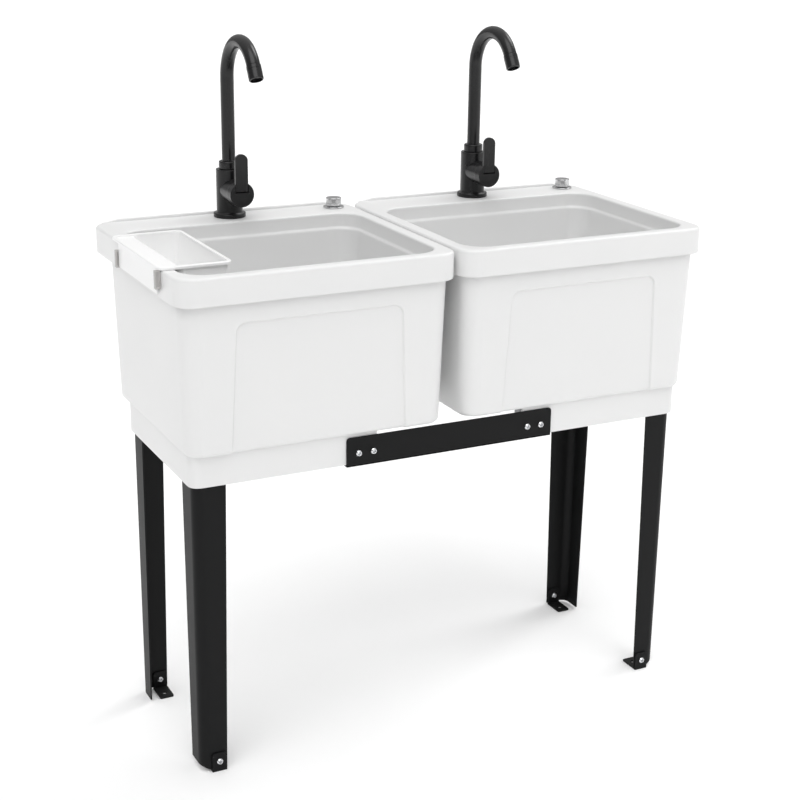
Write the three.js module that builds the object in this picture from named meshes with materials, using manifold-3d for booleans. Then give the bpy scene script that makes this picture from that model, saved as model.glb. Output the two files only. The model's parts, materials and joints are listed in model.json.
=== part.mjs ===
// Twin-bowl utility laundry sink: two moulded tubs and base bands on four bent-steel legs, joined by a rail
// at the front and at the back. Each tub has its own high-arc faucet and a remote-controlled waste.
// Millimetres, +Z up, front towards -Y, origin on the floor under the middle of the outline.

import * as THREE from 'three';
import { mergeVertices } from 'three/addons/utils/BufferGeometryUtils.js';
import Module from 'manifold-3d';

const wasm = await Module();
wasm.setup();

// ---------------------------------------------------------------- driving dimensions

const clearance = 0.3;

// Facets round a full circle, by the size of what is turned.
const facets = { large: 18, medium: 16, small: 8, hex: 6 };

const tub = {
  width: 483.5,
  depth: 454,
  rimTopZ: 864,
  rimHeight: 45.5,
  rimWall: 4,
  rimCornerRadius: 34,
  rimEdgeRound: 5,
  rimOverhang: 10,
  gapBetween: 8,
  bodyBottomZ: 569.3,
  bodyDraft: 6,
  bodyCornerRadius: 30,
  bodyBottomRound: 14,
  backOverhang: 57,
  bowlRimWidth: 23,
  bowlBackY: 142,
  bowlCornerRadius: 42,
  bowlLedgeDepth: 26,
  bowlLedgeWidth: 4,
  bowlDraft: 8,
  bowlFloorZ: 580,
  bowlFloorFall: 6,
  bowlFloorRound: 26,
  deckThickness: 6,
  backLipHeight: 5,
  backLipWidth: 6,
};

const band = {
  bottomZ: 516.5,
  sideInset: 6,
  frontInset: 11,
  backInset: 34,
  wall: 5,
  cornerRadius: 22,
  pastInnerBolt: 8,
};

const panel = { topHalfWidth: 143, bottomHalfWidth: 153, topZ: 785, recess: 3.5, cornerRadius: 16 };

const leg = { topFlange: 56, footFlange: 46, thickness: 2.5, seatGap: 1, trimRise: 10 };

const footBracket = { thickness: 3, width: 26, height: 34, toeLength: 40, holeRadius: 4, edgeSetback: 1.5 };

const footBolt = {
  shankRadius: 3,
  headRadius: 5.2,
  headHeight: 3.6,
  nutRadius: 5.6,
  nutHeight: 5,
  centreZ: 19,
};

const rail = { halfLength: 196.5, height: 51, flange: 26, thickness: 3, cornerRadius: 7 };

const railBolt = {
  fromEnd: 21.5,
  pitch: 27,
  drop: 28,
  shankRadius: 3,
  headRadius: 5.6,
  headHeight: 4,
  nutRadius: 5.6,
  nutHeight: 5,
};

const faucet = {
  setbackY: 37.5,
  flangeRadius: 28.5,
  flangeHeight: 8,
  bodyRadius: 23,
  bodyHeight: 85,
  shankRadius: 13.5,
  shankLength: 46,
  inletOffset: 6,
  inletRadius: 3.6,
  inletDepth: 18,
  nutRadius: 18,
  nutHeight: 9,
  hubHeight: 49,
  hubRadius: 21,
  hubLength: 44,
  capRadius: 22,
  capLength: 20,
};

const spout = {
  collarRadius: 17.5,
  collarHeight: 14,
  tubeRadius: 12.7,
  archCentre: 243,
  archRadius: 67.5,
  archSweep: 150,
  steps: 13,
  nozzleRadius: 13.6,
  nozzleLength: 26,
  pivotPinRadius: 9,
  pivotPinDepth: 14,
};

const lever = {
  width: 23,
  thickness: 7,
  height: 74,
  pivotRadius: 5.5,
  pivotRise: 9,
  slotSide: 0.6,
  pinRadius: 2,
  pinPastSlot: 5,
};

const waste = {
  y: -36,
  flangeRadius: 45,
  flangeLip: 2.5,
  seatRadius: 38,
  throatRadius: 27,
  sleeveRadius: 31,
  sleeveBelow: 26,
  nutRadius: 44,
  nutHeight: 9,
  spokeWidth: 5,
  stemRadius: 3.6,
  stemLength: 26,
  bodyRadius: 34,
  bodyHeight: 46,
  tailRadius: 20,
  tailWall: 2,
  tailBottomZ: 480,
  portRadius: 6,
  portLength: 22,
};

const knob = {
  fromCentreX: 202,
  flangeRadius: 19,
  flangeHeight: 2.6,
  capRadius: 14,
  capHeight: 19,
  spindleRadius: 4,
  stemRadius: 10,
  stemBelowDeck: 24,
  nutRadius: 14,
  nutHeight: 7,
};

const caddy = {
  frontY: -157,
  backY: 95,
  insideWidth: 80.5,
  wall: 2.5,
  depth: 96,
  draft: 7,
  cornerRadius: 14,
  rimHeight: 5,
  rimLip: 4,
  wallGap: 1,
  hookReach: 2,
  apronThickness: 3,
  apronDrop: 44,
  slotCount: 5,
  slotWidth: 5,
  slotLength: 56,
  slotGap: 24,
  slotMargin: 12,
};

const clip = { nearY: -153, farY: 52, width: 9, length: 8, drop: 29, farLower: 11, recess: 1.5 };

// ---------------------------------------------------------------- derived places

const tubCentreX = (tub.gapBetween + tub.width) / 2;
const frontY = -tub.depth / 2;
const backY = tub.depth / 2;
const rimBottomZ = tub.rimTopZ - tub.rimHeight;
const bodyFrontTopY = frontY + tub.rimOverhang;
const bodyBackTopY = backY - tub.backOverhang;
const bodyTopHalf = tub.width / 2 - tub.rimOverhang;
const bodyBottomHalf = bodyTopHalf - tub.bodyDraft;
const bodyFrontBottomY = bodyFrontTopY + tub.bodyDraft;
const bodyBackBottomY = bodyBackTopY - tub.bodyDraft;
const bandHalf = bodyBottomHalf - band.sideInset;
const bandFrontY = bodyFrontBottomY + band.frontInset;
const bandBackY = bodyBackBottomY - band.backInset;
const bandReachZ = tub.bodyBottomZ + tub.bodyBottomRound;
const legOuterX = tubCentreX + bandHalf - band.wall - clearance;
const legFrontY = bandFrontY + band.wall + clearance;
const legBackY = bandBackY - band.wall - clearance;
const legBend = band.cornerRadius - band.wall;
const legBottomZ = footBracket.thickness + clearance;
const legTopZ = tub.bodyBottomZ - leg.seatGap;
const railBottomZ = band.bottomZ - rail.thickness - clearance;
const railTopZ = railBottomZ + rail.height;
const faucetY = backY - faucet.setbackY;
const deckZ = tub.rimTopZ;
const railBoltZ = railTopZ - railBolt.drop;
const railBoltOuterX = rail.halfLength - railBolt.fromEnd;
const railBoltInnerX = railBoltOuterX - railBolt.pitch;
const bandInnerEnd = tubCentreX - railBoltInnerX + band.pastInnerBolt;
const deckThicknessAtFaucet = tub.deckThickness + 3;
const bowlFloorAtDrainZ = tub.bowlFloorZ - tub.bowlFloorFall;
const outlineShiftX = (clip.width + clearance) / 2;

// ---------------------------------------------------------------- materials

function finish(color, roughness, metalness) {
  return new THREE.MeshStandardMaterial({ color, roughness, metalness });
}

const whitePlastic = () => finish(0xf1f1ee, 0.42, 0);
const blackSteel = () => finish(0x26272a, 0.5, 0.4);
const mattBlack = () => finish(0x1b1c1e, 0.45, 0.5);
const chrome = () => finish(0xd6d8da, 0.12, 1);
const zincPlate = () => finish(0xc9cbcc, 0.35, 0.9);
const greyPlastic = () => finish(0x8b8d90, 0.5, 0);
const stainless = () => finish(0xb9bbbd, 0.3, 1);

// ---------------------------------------------------------------- solids and booleans

function toSolid(geometry) {
  const bare = geometry.clone();
  bare.deleteAttribute('normal');
  bare.deleteAttribute('uv');
  const merged = mergeVertices(bare, 1e-4);
  return new wasm.Manifold(new wasm.Mesh({
    numProp: 3,
    vertProperties: new Float32Array(merged.attributes.position.array),
    triVerts: new Uint32Array(merged.index.array),
  }));
}

function toGeometry(solid) {
  const mesh = solid.getMesh();
  const indexed = new THREE.BufferGeometry();
  indexed.setAttribute('position', new THREE.BufferAttribute(new Float32Array(mesh.vertProperties), 3));
  indexed.setIndex(new THREE.BufferAttribute(new Uint32Array(mesh.triVerts), 1));
  const flat = indexed.toNonIndexed();
  flat.computeVertexNormals();
  return flat;
}

// A closed solid through rings of points, lowest ring first, each ring counter-clockwise from above.
function loft(rings) {
  const count = rings[0].length;
  const positions = rings.flat().flatMap((p) => [p.x, p.y, p.z]);
  const index = [];
  for (let level = 0; level < rings.length - 1; level += 1) {
    for (let i = 0; i < count; i += 1) {
      const next = (i + 1) % count;
      const a = level * count + i;
      const b = level * count + next;
      const c = a + count;
      const d = b + count;
      index.push(a, b, d, a, d, c);
    }
  }
  const flatRing = rings[0].map((p) => new THREE.Vector2(p.x, p.y));
  const top = (rings.length - 1) * count;
  for (const [i, j, k] of THREE.ShapeUtils.triangulateShape(flatRing, [])) {
    index.push(k, j, i, top + i, top + j, top + k);
  }
  const geometry = new THREE.BufferGeometry();
  geometry.setAttribute('position', new THREE.Float32BufferAttribute(positions, 3));
  geometry.setIndex(index);
  return geometry;
}

// A rounded rectangle ring at one height.
function roundedRing({ left, right, front, back, radius, z, steps = 4 }) {
  const centres = [
    [right - radius, back - radius, 0],
    [left + radius, back - radius, 90],
    [left + radius, front + radius, 180],
    [right - radius, front + radius, 270],
  ];
  const ring = [];
  for (const [cx, cy, start] of centres) {
    for (let i = 0; i <= steps; i += 1) {
      const angle = THREE.MathUtils.degToRad(start + (90 * i) / steps);
      ring.push(new THREE.Vector3(cx + radius * Math.cos(angle), cy + radius * Math.sin(angle), z));
    }
  }
  return ring;
}

function insetRing(box, inset, z, steps) {
  return roundedRing({
    left: box.left + inset,
    right: box.right - inset,
    front: box.front + inset,
    back: box.back - inset,
    radius: Math.max(box.radius - inset, 1),
    z,
    steps,
  });
}

function cylinder(radius, length, sides = facets.medium) {
  const geometry = new THREE.CylinderGeometry(radius, radius, length, sides);
  geometry.rotateX(Math.PI / 2);
  return geometry;
}

function cylinderAt(radius, bottomZ, topZ, x = 0, y = 0, sides = facets.medium) {
  const geometry = cylinder(radius, topZ - bottomZ, sides);
  geometry.translate(x, y, (bottomZ + topZ) / 2);
  return toSolid(geometry);
}

function cylinderAlongY(radius, fromY, toY, x, z, sides = facets.medium) {
  const geometry = new THREE.CylinderGeometry(radius, radius, Math.abs(toY - fromY), sides);
  geometry.translate(x, (fromY + toY) / 2, z);
  return toSolid(geometry);
}

function box(left, right, front, back, bottom, top) {
  const geometry = new THREE.BoxGeometry(right - left, back - front, top - bottom);
  geometry.translate((left + right) / 2, (front + back) / 2, (bottom + top) / 2);
  return toSolid(geometry);
}

// A turned solid about Z from [radius, height] points, given in either direction.
function turned(points, sides = facets.medium) {
  const profile = points.map(([r, z]) => new THREE.Vector2(r, z));
  if (THREE.ShapeUtils.area(profile) < 0) profile.reverse();
  const geometry = new THREE.LatheGeometry(profile, sides);
  geometry.rotateX(Math.PI / 2);
  return toSolid(geometry);
}

const root = new THREE.Group();
const sink = new THREE.Group();
sink.position.x = outlineShiftX;
root.add(sink);

function addPiece(name, solid, material, x = 0, y = 0, z = 0, parent = sink) {
  const mesh = new THREE.Mesh(toGeometry(solid), material);
  mesh.name = name;
  mesh.position.set(x, y, z);
  parent.add(mesh);
  return mesh;
}

// ---------------------------------------------------------------- moulded tub

const rimBox = {
  left: -tub.width / 2, right: tub.width / 2, front: frontY, back: backY, radius: tub.rimCornerRadius,
};

function bodyBox(drop) {
  const share = drop / (rimBottomZ - tub.bodyBottomZ);
  const draft = tub.bodyDraft * share;
  return {
    left: -bodyTopHalf + draft,
    right: bodyTopHalf - draft,
    front: bodyFrontTopY + draft,
    back: bodyBackTopY - draft,
    radius: tub.bodyCornerRadius,
  };
}

function tubRim() {
  const round = tub.rimEdgeRound;
  const rings = [
    insetRing(rimBox, 1.5, rimBottomZ),
    insetRing(rimBox, 0, rimBottomZ + 1.5),
    insetRing(rimBox, 0, tub.rimTopZ - round),
    insetRing(rimBox, round * 0.3, tub.rimTopZ - round * 0.3),
    insetRing(rimBox, round, tub.rimTopZ),
  ];
  return toSolid(loft(rings));
}

function tubBody() {
  const full = rimBottomZ - tub.bodyBottomZ;
  const round = tub.bodyBottomRound;
  const bottom = bodyBox(full);
  const rings = [
    insetRing(bottom, round, tub.bodyBottomZ),
    insetRing(bottom, round * 0.3, tub.bodyBottomZ + round * 0.3),
    insetRing(bodyBox(full - round), 0, tub.bodyBottomZ + round),
    insetRing(bodyBox(0), 0, rimBottomZ),
    insetRing(bodyBox(0), 0, tub.rimTopZ - tub.deckThickness / 2),
  ];
  return toSolid(loft(rings));
}

// The upper edge follows the tub's rounded lower edge; the legs stand inside the corners and the rail
// screws go through the ends.
function baseBand(side) {
  const outline = {
    left: -bandHalf, right: bandHalf, front: bandFrontY, back: bandBackY, radius: band.cornerRadius,
  };
  const shell = toSolid(loft([insetRing(outline, 0, band.bottomZ), insetRing(outline, 0, bandReachZ)]));
  const hollow = toSolid(loft([
    insetRing(outline, band.wall, band.bottomZ - 1),
    insetRing(outline, band.wall, bandReachZ + 1),
  ]));
  const openSide = box(bandInnerEnd, tub.width, frontY, backY, band.bottomZ - 1, bandReachZ + 1);
  const seat = tubBody().translate([0, 0, -clearance]);
  let solid = shell.subtract(hollow).subtract(openSide).subtract(seat);
  if (side > 0) solid = solid.mirror([1, 0, 0]);
  for (const fromMiddle of [railBoltInnerX, railBoltOuterX]) {
    const x = side * (fromMiddle - tubCentreX);
    for (const y of [bandFrontY, bandBackY]) {
      const reach = 2 * band.wall;
      const radius = railBolt.shankRadius + clearance;
      solid = solid.subtract(cylinderAlongY(radius, y - reach, y + reach, x, railBoltZ, facets.small));
    }
  }
  return solid;
}

function bowlHollow() {
  const top = {
    left: -tub.width / 2 + tub.bowlRimWidth,
    right: tub.width / 2 - tub.bowlRimWidth,
    front: frontY + tub.bowlRimWidth,
    back: tub.bowlBackY,
    radius: tub.bowlCornerRadius,
  };
  const ledgeZ = tub.rimTopZ - tub.bowlLedgeDepth;
  const ledge = tub.bowlLedgeWidth;
  const floor = ledge + tub.bowlDraft;
  const round = tub.bowlFloorRound;
  const z = tub.bowlFloorZ;
  return toSolid(loft([
    insetRing(top, floor + round, z),
    insetRing(top, floor + round * 0.5, z + round * 0.13),
    insetRing(top, floor + round * 0.13, z + round * 0.5),
    insetRing(top, floor, z + round),
    insetRing(top, ledge, ledgeZ - ledge),
    insetRing(top, 0.6, ledgeZ),
    insetRing(top, 0, tub.rimTopZ - 4),
    insetRing(top, -1.2, tub.rimTopZ - 1.2),
    insetRing(top, -4, tub.rimTopZ),
    insetRing(top, -4, tub.rimTopZ + 10),
  ]));
}

// The floor of the bowl falls to the waste from all sides.
function floorFall() {
  const inset = tub.bowlRimWidth + tub.bowlLedgeWidth + tub.bowlDraft + tub.bowlFloorRound;
  const wide = {
    left: -tub.width / 2 + inset,
    right: tub.width / 2 - inset,
    front: frontY + inset,
    back: tub.bowlBackY - inset + tub.bowlRimWidth,
    radius: tub.bowlCornerRadius,
  };
  const small = waste.flangeRadius + 3;
  const low = {
    left: -small, right: small, front: waste.y - small, back: waste.y + small, radius: small - 1,
  };
  return toSolid(loft([
    insetRing(low, 0, bowlFloorAtDrainZ),
    insetRing(wide, 0, tub.bowlFloorZ),
    insetRing(wide, 0, tub.bowlFloorZ + 1),
  ]));
}

// A shallow panel with rounded upper corners, open at the lower edge, sunk into the front face.
function frontPanel() {
  const r = panel.cornerRadius;
  const bottomZ = tub.bodyBottomZ - 1;
  const shape = new THREE.Shape();
  shape.moveTo(-panel.bottomHalfWidth, bottomZ);
  shape.lineTo(panel.bottomHalfWidth, bottomZ);
  shape.lineTo(panel.topHalfWidth, panel.topZ - r);
  shape.absarc(panel.topHalfWidth - r, panel.topZ - r, r, 0, Math.PI / 2, false);
  shape.absarc(-panel.topHalfWidth + r, panel.topZ - r, r, Math.PI / 2, Math.PI, false);
  shape.closePath();
  const thickness = 40;
  const slab = new THREE.ExtrudeGeometry(shape, { depth: thickness, bevelEnabled: false, curveSegments: 6 });
  slab.rotateX(Math.PI / 2);
  const lean = Math.atan2(tub.bodyDraft, rimBottomZ - tub.bodyBottomZ);
  slab.translate(0, 0, -rimBottomZ);
  slab.rotateX(-lean);
  slab.translate(0, bodyFrontTopY + panel.recess, rimBottomZ);
  return toSolid(slab);
}

function rimUnderside() {
  const outer = insetRing(rimBox, tub.rimWall, rimBottomZ - 1);
  const topZ = tub.rimTopZ - deckThicknessAtFaucet;
  const ring = toSolid(loft([outer, insetRing(rimBox, tub.rimWall, topZ)]));
  const core = toSolid(loft([
    insetRing(bodyBox(0), 0, rimBottomZ - 2),
    insetRing(bodyBox(0), 0, topZ + 1),
  ]));
  return ring.subtract(core);
}

function backLip() {
  const r = tub.backLipWidth / 2;
  const halfLength = tub.width / 2 - tub.rimCornerRadius * 0.55;
  const shape = new THREE.Shape();
  const y = backY - r - 1.5;
  shape.moveTo(y - r, tub.rimTopZ - 2);
  shape.lineTo(y + r, tub.rimTopZ - 2);
  shape.lineTo(y + r, tub.rimTopZ + tub.backLipHeight * 0.4);
  shape.lineTo(y + r * 0.55, tub.rimTopZ + tub.backLipHeight);
  shape.lineTo(y - r * 0.3, tub.rimTopZ + tub.backLipHeight);
  shape.lineTo(y - r, tub.rimTopZ + 0.4);
  shape.closePath();
  const bar = new THREE.ExtrudeGeometry(shape, { depth: 2 * halfLength, bevelEnabled: false });
  bar.applyMatrix4(new THREE.Matrix4().set(
    0, 0, 1, -halfLength,
    1, 0, 0, 0,
    0, 1, 0, 0,
    0, 0, 0, 1,
  ));
  return toSolid(bar);
}

function tubSolid() {
  let solid = tubRim().add(tubBody()).subtract(bowlHollow()).subtract(floorFall());
  solid = solid.subtract(rimUnderside()).add(backLip()).subtract(frontPanel());
  const deckHoleBottom = tub.rimTopZ - 40;
  const deckHoleTop = tub.rimTopZ + 5;
  const drainRadius = waste.sleeveRadius + clearance;
  const drainBottom = tub.bodyBottomZ - 5;
  const drainTop = tub.bowlFloorZ + 5;
  solid = solid.subtract(cylinderAt(drainRadius, drainBottom, drainTop, 0, waste.y, facets.large));
  for (const [radius, x] of [[faucet.shankRadius, 0], [knob.stemRadius, knob.fromCentreX]]) {
    solid = solid.subtract(cylinderAt(radius + clearance, deckHoleBottom, deckHoleTop, x, faucetY));
  }
  return solid;
}

// ---------------------------------------------------------------- bent-steel leg and its foot

// An angle section with a wide bend; the corner points to +X +Y and the flanges run back from it.
function angleRing(flange, z) {
  const outer = legBend;
  const inner = outer - leg.thickness;
  const steps = 6;
  const ring = [];
  ring.push(new THREE.Vector3(-flange, -leg.thickness, z));
  for (let i = 0; i <= steps; i += 1) {
    const angle = Math.PI / 2 - (Math.PI / 2) * (i / steps);
    ring.push(new THREE.Vector3(-outer + inner * Math.cos(angle), -outer + inner * Math.sin(angle), z));
  }
  ring.push(new THREE.Vector3(-leg.thickness, -flange, z));
  ring.push(new THREE.Vector3(0, -flange, z));
  for (let i = 0; i <= steps; i += 1) {
    const angle = (Math.PI / 2) * (i / steps);
    ring.push(new THREE.Vector3(-outer + outer * Math.cos(angle), -outer + outer * Math.sin(angle), z));
  }
  ring.push(new THREE.Vector3(-flange, 0, z));
  return ring;
}

function footBoltX() {
  return -leg.footFlange + footBracket.edgeSetback + footBracket.width / 2;
}

// The lower end is cut so that it rises from the bracket to the corner.
function legTrim() {
  const start = footBoltX() + footBracket.width / 2;
  const shape = new THREE.Shape();
  shape.moveTo(start, legBottomZ - 1);
  shape.lineTo(1, legBottomZ - 1);
  shape.lineTo(1, legBottomZ + leg.trimRise);
  shape.lineTo(start, legBottomZ);
  shape.closePath();
  const reach = leg.topFlange + 2;
  const wedge = new THREE.ExtrudeGeometry(shape, { depth: reach, bevelEnabled: false });
  wedge.rotateX(Math.PI / 2);
  wedge.translate(0, 1, 0);
  return toSolid(wedge);
}

function legSolid(atFront) {
  let solid = toSolid(loft([angleRing(leg.footFlange, legBottomZ), angleRing(leg.topFlange, legTopZ)]));
  const radius = footBolt.shankRadius + clearance;
  solid = solid.subtract(cylinderAlongY(radius, -10, 5, footBoltX(), footBolt.centreZ, facets.small));
  return placeAtCorner(solid.subtract(legTrim()), atFront);
}

// The solid is drawn for a back corner and turned over front to back for a front one.
function placeAtCorner(solid, atFront) {
  return atFront ? solid.mirror([0, 1, 0]) : solid;
}

// Plate against the leg's flange with a toe along the floor; the toe always points to the inside.
function footBracketSolid(atFront) {
  const t = footBracket.thickness;
  const left = -leg.footFlange + footBracket.edgeSetback;
  const right = left + footBracket.width;
  const plateBack = atFront ? clearance + t : -leg.thickness - clearance;
  const toeFront = plateBack - t - footBracket.toeLength;
  const corner = 6;
  const plate = new THREE.Shape();
  plate.moveTo(left, 0);
  plate.lineTo(right, 0);
  plate.lineTo(right, footBracket.height - corner);
  plate.absarc(right - corner, footBracket.height - corner, corner, 0, Math.PI / 2, false);
  plate.absarc(left + corner, footBracket.height - corner, corner, Math.PI / 2, Math.PI, false);
  plate.closePath();
  const upright = new THREE.ExtrudeGeometry(plate, { depth: t, bevelEnabled: false, curveSegments: 4 });
  upright.rotateX(Math.PI / 2);
  upright.translate(0, plateBack, 0);
  let solid = toSolid(upright).add(box(left, right, toeFront, plateBack, 0, t));
  const anchorY = plateBack - t - footBracket.toeLength * 0.6;
  const middle = footBoltX();
  solid = solid.subtract(cylinderAt(footBracket.holeRadius, -1, t + 1, middle, anchorY, facets.small));
  const radius = footBolt.shankRadius + clearance;
  const [from, to] = [plateBack - t - 1, plateBack + 1];
  const boltHole = cylinderAlongY(radius, from, to, middle, footBolt.centreZ, facets.small);
  solid = solid.subtract(boltHole);
  return placeAtCorner(solid, atFront);
}

// A screw with its nut, lying along Y with the head towards -Y.
function screwAlongY(size, gripFrontY, gripBackY) {
  const { shankRadius, headRadius, headHeight, nutRadius, nutHeight } = size;
  const head = turned([
    [0, 0],
    [headRadius, 0],
    [headRadius, headHeight * 0.35],
    [headRadius * 0.8, headHeight * 0.82],
    [headRadius * 0.5, headHeight],
    [headRadius * 0.45, headHeight],
    [headRadius * 0.4, headHeight * 0.45],
    [0, headHeight * 0.45],
  ], facets.small).rotate([90, 0, 0]).translate([0, gripFrontY - clearance, 0]);
  const nutFront = gripBackY + clearance;
  const shank = cylinderAlongY(shankRadius, gripFrontY - clearance - 1, nutFront + 1, 0, 0, facets.small);
  const nut = cylinderAlongY(nutRadius, nutFront, nutFront + nutHeight, 0, 0, facets.hex);
  return head.add(shank).add(nut);
}

// ---------------------------------------------------------------- joining rail

const railBoltPlaces = [-railBoltOuterX, -railBoltInnerX, railBoltInnerX, railBoltOuterX];

function railSolid(atFront) {
  const t = rail.thickness;
  const r = rail.cornerRadius;
  const half = rail.halfLength;
  const plateBack = -clearance;
  const face = new THREE.Shape();
  face.moveTo(-half, 0);
  face.lineTo(half, 0);
  face.lineTo(half, rail.height - r);
  face.absarc(half - r, rail.height - r, r, 0, Math.PI / 2, false);
  face.absarc(-half + r, rail.height - r, r, Math.PI / 2, Math.PI, false);
  face.closePath();
  const plate = new THREE.ExtrudeGeometry(face, { depth: t, bevelEnabled: false, curveSegments: 5 });
  plate.rotateX(Math.PI / 2);
  plate.translate(0, plateBack, railBottomZ);
  const flangeBack = plateBack - t + rail.flange;
  let solid = toSolid(plate).add(box(-half, half, plateBack - t, flangeBack, railBottomZ, railBottomZ + t));
  const radius = railBolt.shankRadius + clearance;
  for (const x of railBoltPlaces) {
    const hole = cylinderAlongY(radius, plateBack - t - 1, plateBack + 1, x, railBoltZ, facets.small);
    solid = solid.subtract(hole);
  }
  return placeAtCorner(solid, !atFront).translate([0, atFront ? bandFrontY : bandBackY, 0]);
}

// ---------------------------------------------------------------- faucet

// Everything of a faucet is drawn with the origin on the deck, under the middle of its body.
const hubEndY = -faucet.hubLength;
const capBackY = hubEndY - clearance;
const capFrontY = capBackY - faucet.capLength;
const leverPivotY = capFrontY + lever.pivotRadius + 0.4;
const leverPivotZ = faucet.hubHeight + lever.pivotRise;
const leverHalfSlot = lever.width / 2 + lever.slotSide;
const collarBottomZ = faucet.bodyHeight + clearance;
const collarTopZ = collarBottomZ + spout.collarHeight;
const spoutBottomZ = collarTopZ + clearance;

function faucetBody() {
  const r = faucet.bodyRadius;
  const top = faucet.bodyHeight;
  const boreRadius = spout.pivotPinRadius + clearance;
  const boreBottom = top - spout.pivotPinDepth - 1;
  const column = turned([
    [0, clearance],
    [faucet.flangeRadius, clearance],
    [faucet.flangeRadius, faucet.flangeHeight * 0.6],
    [faucet.flangeRadius - 1.5, faucet.flangeHeight * 0.92],
    [r + 2.4, faucet.flangeHeight],
    [r + 0.6, faucet.flangeHeight + 1.2],
    [r, faucet.flangeHeight + 4],
    [r, top - 1.5],
    [r - 1.5, top],
    [boreRadius, top],
    [boreRadius, boreBottom],
    [0, boreBottom],
  ], facets.large);
  const hub = cylinderAlongY(faucet.hubRadius, hubEndY, -5, 0, faucet.hubHeight, facets.large);
  const shankTop = clearance + 2;
  const shank = cylinderAt(faucet.shankRadius, -faucet.shankLength, shankTop, 0, 0, facets.medium);
  const end = -faucet.shankLength;
  let solid = column.add(hub).add(shank);
  for (const x of [-faucet.inletOffset, faucet.inletOffset]) {
    const inlet = cylinderAt(faucet.inletRadius, end - 1, end + faucet.inletDepth, x, 0, facets.small);
    solid = solid.subtract(inlet);
  }
  return solid;
}

function faucetLocknut() {
  const top = -deckThicknessAtFaucet - clearance;
  const bottom = top - faucet.nutHeight;
  const wings = cylinderAt(faucet.nutRadius, bottom, top, 0, 0, facets.hex);
  const bore = cylinderAt(faucet.shankRadius + clearance, bottom - 1, top + 1);
  return wings.subtract(bore);
}

function spoutCollar() {
  const r = spout.collarRadius;
  const top = collarTopZ;
  return turned([
    [0, faucet.bodyHeight - spout.pivotPinDepth],
    [spout.pivotPinRadius, faucet.bodyHeight - spout.pivotPinDepth],
    [spout.pivotPinRadius, collarBottomZ],
    [r - 1, collarBottomZ],
    [r, collarBottomZ + 1],
    [r, top - 3],
    [r - 1.2, top - 0.8],
    [r - 3, top],
    [0, top],
  ], facets.large);
}

class SpoutPath extends THREE.Curve {
  constructor() {
    super();
    this.rise = spout.archCentre - spoutBottomZ;
    this.sweep = THREE.MathUtils.degToRad(spout.archSweep);
    this.total = this.rise + spout.archRadius * this.sweep;
  }

  getPoint(t, target = new THREE.Vector3()) {
    const travelled = t * this.total;
    if (travelled <= this.rise) return target.set(0, 0, spoutBottomZ + travelled);
    const angle = (travelled - this.rise) / spout.archRadius;
    const r = spout.archRadius;
    return target.set(0, -r + r * Math.cos(angle), spout.archCentre + r * Math.sin(angle));
  }
}

function circleShape(radius, sides) {
  const shape = new THREE.Shape();
  for (let i = 0; i < sides; i += 1) {
    const angle = (2 * Math.PI * i) / sides;
    const x = radius * Math.cos(angle);
    const y = radius * Math.sin(angle);
    if (i === 0) shape.moveTo(x, y);
    else shape.lineTo(x, y);
  }
  shape.closePath();
  return shape;
}

function tubeAlong(path, radius, sides, steps) {
  return toSolid(new THREE.ExtrudeGeometry(circleShape(radius, sides), {
    steps,
    bevelEnabled: false,
    extrudePath: path,
  }));
}

function spoutSolid() {
  return tubeAlong(new SpoutPath(), spout.tubeRadius, facets.medium, spout.steps);
}

// The outlet sleeve and its aerator screen, on the open end of the arch.
function aeratorSolid() {
  const r = spout.nozzleRadius;
  const length = spout.nozzleLength;
  const sleeve = turned([
    [0, -clearance],
    [r - 1, -clearance],
    [r, -clearance - 1],
    [r, -length + 1],
    [r - 1, -length],
    [r - 2.4, -length],
    [r - 3, -length + 4],
    [0, -length + 4],
  ], facets.medium);
  const angle = THREE.MathUtils.degToRad(spout.archSweep);
  const endY = -spout.archRadius + spout.archRadius * Math.cos(angle);
  const endZ = spout.archCentre + spout.archRadius * Math.sin(angle);
  return sleeve.rotate([spout.archSweep - 180, 0, 0]).translate([0, endY, endZ]);
}

function temperatureCap() {
  const r = faucet.capRadius;
  const length = faucet.capLength;
  const cap = turned([
    [0, 0],
    [r - 0.8, 0],
    [r, 0.8],
    [r, length - 2.2],
    [r - 0.7, length - 0.7],
    [r - 2.2, length],
    [0, length],
  ], facets.large).rotate([90, 0, 0]).translate([0, capBackY, faucet.hubHeight]);
  const slotBackY = leverPivotY + lever.pivotRadius + 0.8;
  const slotBottomZ = leverPivotZ - lever.pivotRadius - 0.8;
  const slotTopZ = faucet.hubHeight + r + 5;
  const slot = box(-leverHalfSlot, leverHalfSlot, capFrontY - 5, slotBackY, slotBottomZ, slotTopZ);
  const pinHole = alongX(lever.pinRadius + clearance, leverHalfSlot + lever.pinPastSlot + clearance);
  return cap.subtract(slot).subtract(pinHole);
}

function alongX(radius, halfLength, sides = facets.small) {
  const geometry = new THREE.CylinderGeometry(radius, radius, 2 * halfLength, sides);
  geometry.rotateZ(Math.PI / 2);
  geometry.translate(0, leverPivotY, leverPivotZ);
  return toSolid(geometry);
}

function leverPin() {
  return alongX(lever.pinRadius, leverHalfSlot + lever.pinPastSlot);
}

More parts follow.
